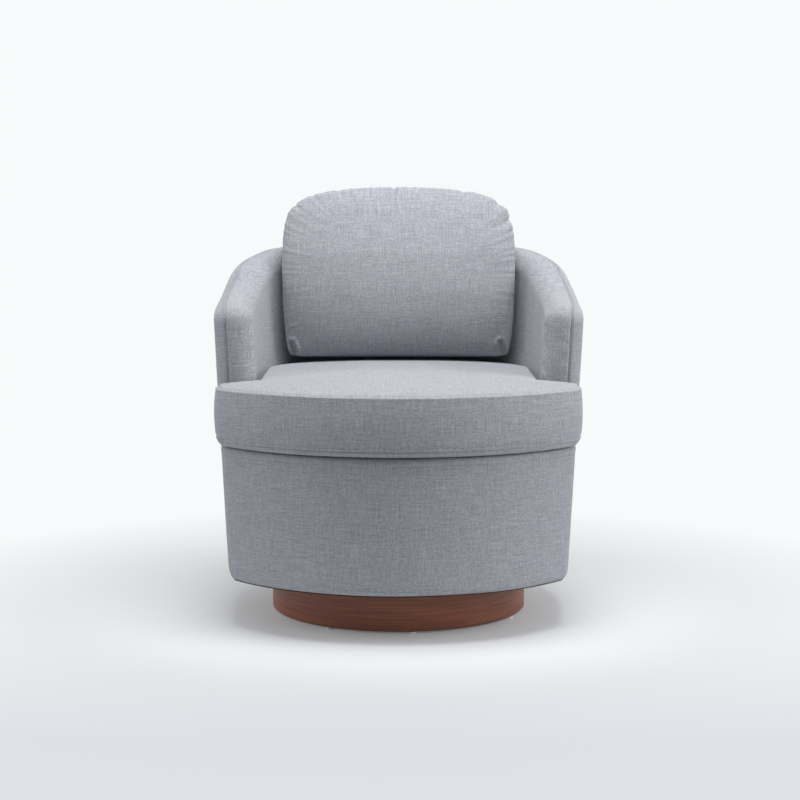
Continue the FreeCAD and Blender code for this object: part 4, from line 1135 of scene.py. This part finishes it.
def veneerSpot(tree, where):
    # along the veneer round the plinth, and up it
    parts = add(tree, "ShaderNodeSeparateXYZ", {0: where}).outputs
    turn = sums(tree, "ARCTAN2", parts[0], sums(tree, "MULTIPLY", parts[1], -1))
    around = sums(tree, "MULTIPLY", turn, veneerRadius)
    return add(tree, "ShaderNodeCombineXYZ", {0: around, 1: parts[2]}).outputs[0]


def walnutColour(tree, where):
    at = veneerSpot(tree, where)
    grain = speckle(tree, at, 1, 5.0, (7, 210, 1))
    figure = speckle(tree, at, 1, 2.0, (2.2, 34, 1))
    colour = shades(tree, grain, (0.30, (0.130, 0.036, 0.014)), (0.55, (0.220, 0.066, 0.024)),
                    (0.75, (0.290, 0.096, 0.036)))
    tint = shades(tree, figure, (0.35, (0.78, 0.72, 0.68)), (0.65, (1.22, 1.06, 0.94)))
    return mixed(tree, 1.0, colour, tint, "MULTIPLY")


def walnutHeight(tree, where):
    return speckle(tree, veneerSpot(tree, where), 1, 4.0, (14, 700, 1))


def grained(first, second, stretch):
    # long grain between two colours
    return lambda tree, where: shades(tree, speckle(tree, where, 1.0, 4.0, stretch),
                                      (0.32, first), (0.68, second))


def lumpy(scale, stretch=(1, 1, 1)):
    return lambda tree, where: speckle(tree, where, scale, 3.0, stretch)


plyPair = 0.0052        # thickness of a dark and a light layer of plywood


def plyColour(tree, where):
    # faces with grain, edges with the dark and light layers
    parts = add(tree, "ShaderNodeSeparateXYZ", {0: where}).outputs
    layer = sums(tree, "SINE", sums(tree, "MULTIPLY", parts[2], 2 * math.pi / plyPair))
    normal = add(tree, "ShaderNodeNewGeometry").outputs["Normal"]
    normal = add(tree, "ShaderNodeSeparateXYZ", {0: normal}).outputs
    face = sums(tree, "GREATER_THAN", sums(tree, "ABSOLUTE", normal[2]), 0.7)
    edge = shades(tree, layer, (0.35, (0.28, 0.16, 0.08)), (0.60, (0.55, 0.38, 0.22)))
    top = grained((0.40, 0.26, 0.14), (0.60, 0.43, 0.26), (9, 90, 9))(tree, where)
    return mixed(tree, face, edge, top)


# build

print("covers of the body")
outsideCloth = makeOutsideCloth()
insideCloth = makeInsideCloth()
frontCloth = makeFrontCloth()
deckTop = finished(makeDeckCloth(), covers)

print("stitches")
armSeam = seamLine()
armStitches = makeStitches("arm_seam_stitches", [outsideCloth], armSeam, armShift)
deckStitches = makeStitches("deck_seam_stitches", [frontCloth], frontSeam(),
                            lambda share: (0, 0, -stitches["beside"]))

print("cushions")
seat = makeSeatCushion()
back = makeBackCushion()

for cloth, stands in ((outsideCloth, ("outside_cover", "skirt_cover", "skirt_padding")),
                      (insideCloth, ("inside_cover", "wall_padding")),
                      (frontCloth, ("front_cover", "front_padding")), (deckTop, ("deck_cover", "deck_pad"))):
    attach(cloth, "seat")
    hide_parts(*stands)
for threads in (armStitches, deckStitches):
    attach(threads, "seat")

# each sheet's cloth area
cloths = {"outside": outsideCloth, "inside": insideCloth, "front": frontCloth, "deck": deckTop}
for name, cloth in cloths.items():
    print(name, "cloth", round(sum(face.area for face in cloth.data.polygons) / 2, 3), "m2")

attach(seat, "seat_cushion")
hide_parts("seat_cushion_cover", "seat_cushion_foam")
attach(back, "back_cushion")
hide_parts("back_cushion_cover", "back_cushion_fill")

print("materials")
bodyWeave = clothFinish("grey_linen_weave", flat=False)
pillowWeave = clothFinish("grey_linen_weave_pillow", flat=True)
thread = newFinish("grey_thread", grained((0.16, 0.165, 0.18), (0.26, 0.265, 0.285), (900, 900, 900)),
                   lumpy(2500), 0.3, 0.0002, Roughness=0.7)
paleThread = newFinish("pale_grey_thread", grained((0.34, 0.345, 0.36), (0.46, 0.465, 0.48), (900, 900, 900)),
                       lumpy(2500), 0.3, 0.0002, Roughness=0.7)
for piece in (outsideCloth, insideCloth, frontCloth, deckTop, seat):
    piece.data.materials.append(bodyWeave)
back.data.materials.append(pillowWeave)
armStitches.data.materials.append(thread)
deckStitches.data.materials.append(paleThread)

finishes = {
    "walnut_veneer": newFinish("walnut_veneer", walnutColour, walnutHeight, 0.12, 0.0004,
                               Roughness=0.48, Coat_Weight=0.08, Coat_Roughness=0.3),
    "plywood": newFinish("raw_plywood", plyColour, lumpy(300, (1, 6, 1)), 0.2, 0.0004, Roughness=0.75),
    "pine": newFinish("sawn_softwood", grained((0.50, 0.33, 0.16), (0.68, 0.49, 0.28), (60, 60, 8)),
                      lumpy(400, (1, 1, 0.1)), 0.3, 0.0005, Roughness=0.8),
    "fibreboard": newFinish("raw_hardboard",
                            grained((0.20, 0.13, 0.075), (0.30, 0.20, 0.12), (500, 500, 500)),
                            lumpy(900), 0.25, 0.0003, Roughness=0.7),
    "white_plastic": newFinish("white_glide_plastic",
                               grained((0.74, 0.74, 0.72), (0.82, 0.82, 0.80), (150, 150, 150)),
                               lumpy(600), 0.08, 0.0002, Roughness=0.35),
    "zinc_steel": newFinish("zinc_plate", grained((0.45, 0.46, 0.47), (0.62, 0.63, 0.64), (160, 160, 160)),
                            lumpy(1200), 0.1, 0.0002, Metallic=1.0, Roughness=0.38),
    "bearing_steel": newFinish("bearing_steel",
                               grained((0.60, 0.61, 0.62), (0.70, 0.71, 0.72), (300, 300, 300)),
                               lumpy(2000), 0.03, 0.0001, Metallic=1.0, Roughness=0.12),
    "black_steel": newFinish("black_powder_coat",
                             grained((0.012, 0.012, 0.013), (0.020, 0.020, 0.022), (400, 400, 400)),
                             lumpy(900), 0.25, 0.0003, Metallic=0.0, Roughness=0.45),
    "spring_steel": newFinish("oiled_spring_wire",
                              grained((0.10, 0.10, 0.105), (0.19, 0.19, 0.20), (60, 900, 60)),
                              lumpy(1500), 0.15, 0.0002, Metallic=1.0, Roughness=0.42),
    "black_cloth": newFinish("black_spun_cloth",
                             grained((0.012, 0.012, 0.014), (0.030, 0.030, 0.033), (700, 700, 700)),
                             lumpy(1400), 0.4, 0.0004, Roughness=0.95),
    "foam": newFinish("cream_foam", grained((0.62, 0.58, 0.42), (0.74, 0.70, 0.54), (500, 500, 500)),
                      lumpy(1000), 0.4, 0.0005, Roughness=0.95),
    "fibre_fill": newFinish("white_fibre", grained((0.74, 0.74, 0.72), (0.86, 0.86, 0.85), (300, 300, 300)),
                            lumpy(700), 0.5, 0.001, Roughness=0.95),
    "grey_weave": bodyWeave,
}
for row in frame["record"]["subparts"]:
    slots = frame["nodes"][row["node"]].data.materials
    slots.clear()
    slots.append(finishes[row["material_slot"]])


# camera, floor and lights

view = {
    "place": (0.003, -3.30, 0.746),
    "tilt": 5.75,           # degrees down
    "lens": 75,             # millimetres
}
camera = bpy.data.objects.new("camera", bpy.data.cameras.new("camera"))
bpy.context.scene.collection.objects.link(camera)
camera.location = view["place"]
camera.rotation_euler = (math.radians(90 - view["tilt"]), 0, 0)
camera.data.lens = view["lens"]
bpy.context.scene.camera = camera

studio = {
    # painted light and shade: a lighter floor colour near the chair lifts its shadow, a darker one further
    # out tones the lit floor down
    "nearFloorPaintedLight": (0.72, 0.73, 0.75),
    "outerFloorPaintedShade": (0.50, 0.51, 0.53),
    "outerStart": 0.34,       # the floor's colour turns from the first to the second between these: painted light near the chair, where its shadow falls, and painted shade further out
    "outerEnd": 0.75,
    "farColour": (0.94, 0.95, 0.96),
    # painted shade: the floor's glow takes this darker colour towards the camera
    "frontPaintedShade": (0.74, 0.765, 0.80),
    "frontStart": -0.2,       # where the floor's glow starts to get darker towards the camera: painted shade
    "frontEnd": -0.9,
    "evenStart": 1.4,         # and where the whole floor takes the far colour
    "evenEnd": 4.0,
    # the camera sees the floor's glow mixed in from nearFade outwards; near the chair this glow is painted
    # light over its shadow
    "nearFade": 0.10,
    "farFade": 1.2,
    "worldColour": (0.94, 0.95, 0.96),
    "worldLight": (0.93, 0.95, 1.0),
    "worldStrength": 0.26,
}


def seenRays(tree):
    # what the camera sees, straight or in metal and glass
    path = add(tree, "ShaderNodeLightPath").outputs
    some = sums(tree, "ADD", path["Is Camera Ray"], path["Is Glossy Ray"])
    return add(tree, "ShaderNodeMath", {0: some, 1: path["Is Transmission Ray"]}, operation="ADD",
               use_clamp=True).outputs[0]


def makeFloor():
    bpy.ops.mesh.primitive_plane_add(size=40, location=(0, 0, 0))
    floor = bpy.context.object
    floor.name = "floor"
    material = bpy.data.materials.new("pale_floor")
    material.use_nodes = True
    tree = material.node_tree
    shader = tree.nodes["Principled BSDF"]
    shader.inputs["Roughness"].default_value = 0.6
    shader.inputs["Specular IOR Level"].default_value = 0.2
    where = add(tree, "ShaderNodeTexCoord").outputs["Object"]
    parts = add(tree, "ShaderNodeSeparateXYZ", {0: where}).outputs
    # painted shade: the glow of the floor seen by the camera gets darker towards the camera
    ahead = add(tree, "ShaderNodeMapRange", {"Value": parts[1], "From Min": studio["frontStart"],
                "From Max": studio["frontEnd"]}).outputs[0]
    tone = mixed(tree, ahead, studio["farColour"], studio["frontPaintedShade"])
    away = add(tree, "ShaderNodeVectorMath", {0: where}, operation="LENGTH").outputs["Value"]
    plain = add(tree, "ShaderNodeMapRange", {"Value": away, "From Min": studio["evenStart"],
               "From Max": studio["evenEnd"]}, interpolation_type="SMOOTHSTEP").outputs[0]
    tone = mixed(tree, plain, tone, studio["farColour"])
    glow = add(tree, "ShaderNodeEmission", {"Color": tone, "Strength": 1.0})
    # painted light near the chair, where its shadow falls, and painted shade further out
    outer = add(tree, "ShaderNodeMapRange", {"Value": away, "From Min": studio["outerStart"],
                "From Max": studio["outerEnd"]}, interpolation_type="SMOOTHSTEP").outputs[0]
    colour = mixed(tree, outer, studio["nearFloorPaintedLight"], studio["outerFloorPaintedShade"])
    tree.links.new(colour, shader.inputs["Base Color"])
    # painted light: from nearFade outwards the camera sees the glow mixed into the floor, which lightens the
    # chair's shadow on it
    far = add(tree, "ShaderNodeMapRange", {"Value": away, "From Min": studio["nearFade"],
              "From Max": studio["farFade"]}).outputs[0]
    share = sums(tree, "MULTIPLY", far, seenRays(tree))
    blend = add(tree, "ShaderNodeMixShader", {0: share, 1: shader.outputs[0], 2: glow.outputs[0]})
    # clear from below, so that the underside of the chair can be looked at
    below = add(tree, "ShaderNodeNewGeometry").outputs["Backfacing"]
    clear = add(tree, "ShaderNodeBsdfTransparent").outputs[0]
    blend = add(tree, "ShaderNodeMixShader", {0: below, 1: blend.outputs[0], 2: clear})
    tree.links.new(blend.outputs[0], tree.nodes["Material Output"].inputs[0])
    floor.data.materials.append(material)


def makeWorld():
    world = bpy.data.worlds.new("studio_world")
    bpy.context.scene.world = world
    world.use_nodes = True
    tree = world.node_tree
    lit = tree.nodes["Background"]
    lit.inputs["Color"].default_value = (*studio["worldLight"], 1)
    lit.inputs["Strength"].default_value = studio["worldStrength"]
    seen = add(tree, "ShaderNodeBackground", {"Color": (*studio["worldColour"], 1), "Strength": 1.0})
    blend = add(tree, "ShaderNodeMixShader", {0: seenRays(tree), 1: lit.outputs[0], 2: seen.outputs[0]})
    tree.links.new(blend.outputs[0], tree.nodes["World Output"].inputs[0])


def makeLight(name, place, aim, across, power):
    lamp = bpy.data.lights.new(name, "AREA")
    lamp.shape = "RECTANGLE"
    lamp.size, lamp.size_y = across
    lamp.energy = power
    carrier = bpy.data.objects.new(name, lamp)
    bpy.context.scene.collection.objects.link(carrier)
    carrier.location = place
    carrier.rotation_euler = (Vector(aim) - Vector(place)).to_track_quat("-Z", "Y").to_euler()


print("floor, world and lights")
makeFloor()
makeWorld()
# name, place, where it points, size and power in watts
lamps = [
    ("top_softbox", (0.1, -0.5, 2.7), (0, 0, 0.5), (1.4, 1.2), 64),
    ("left_softbox", (-2.5, -0.55, 1.3), (0, 0, 0.4), (1.0, 1.6), 24),
    ("right_softbox", (2.5, -0.75, 1.3), (0, 0, 0.4), (1.0, 1.6), 42),
]
for lamp in lamps:
    makeLight(*lamp)
bpy.context.scene.view_settings.view_transform = "Standard"

print("scene ready")
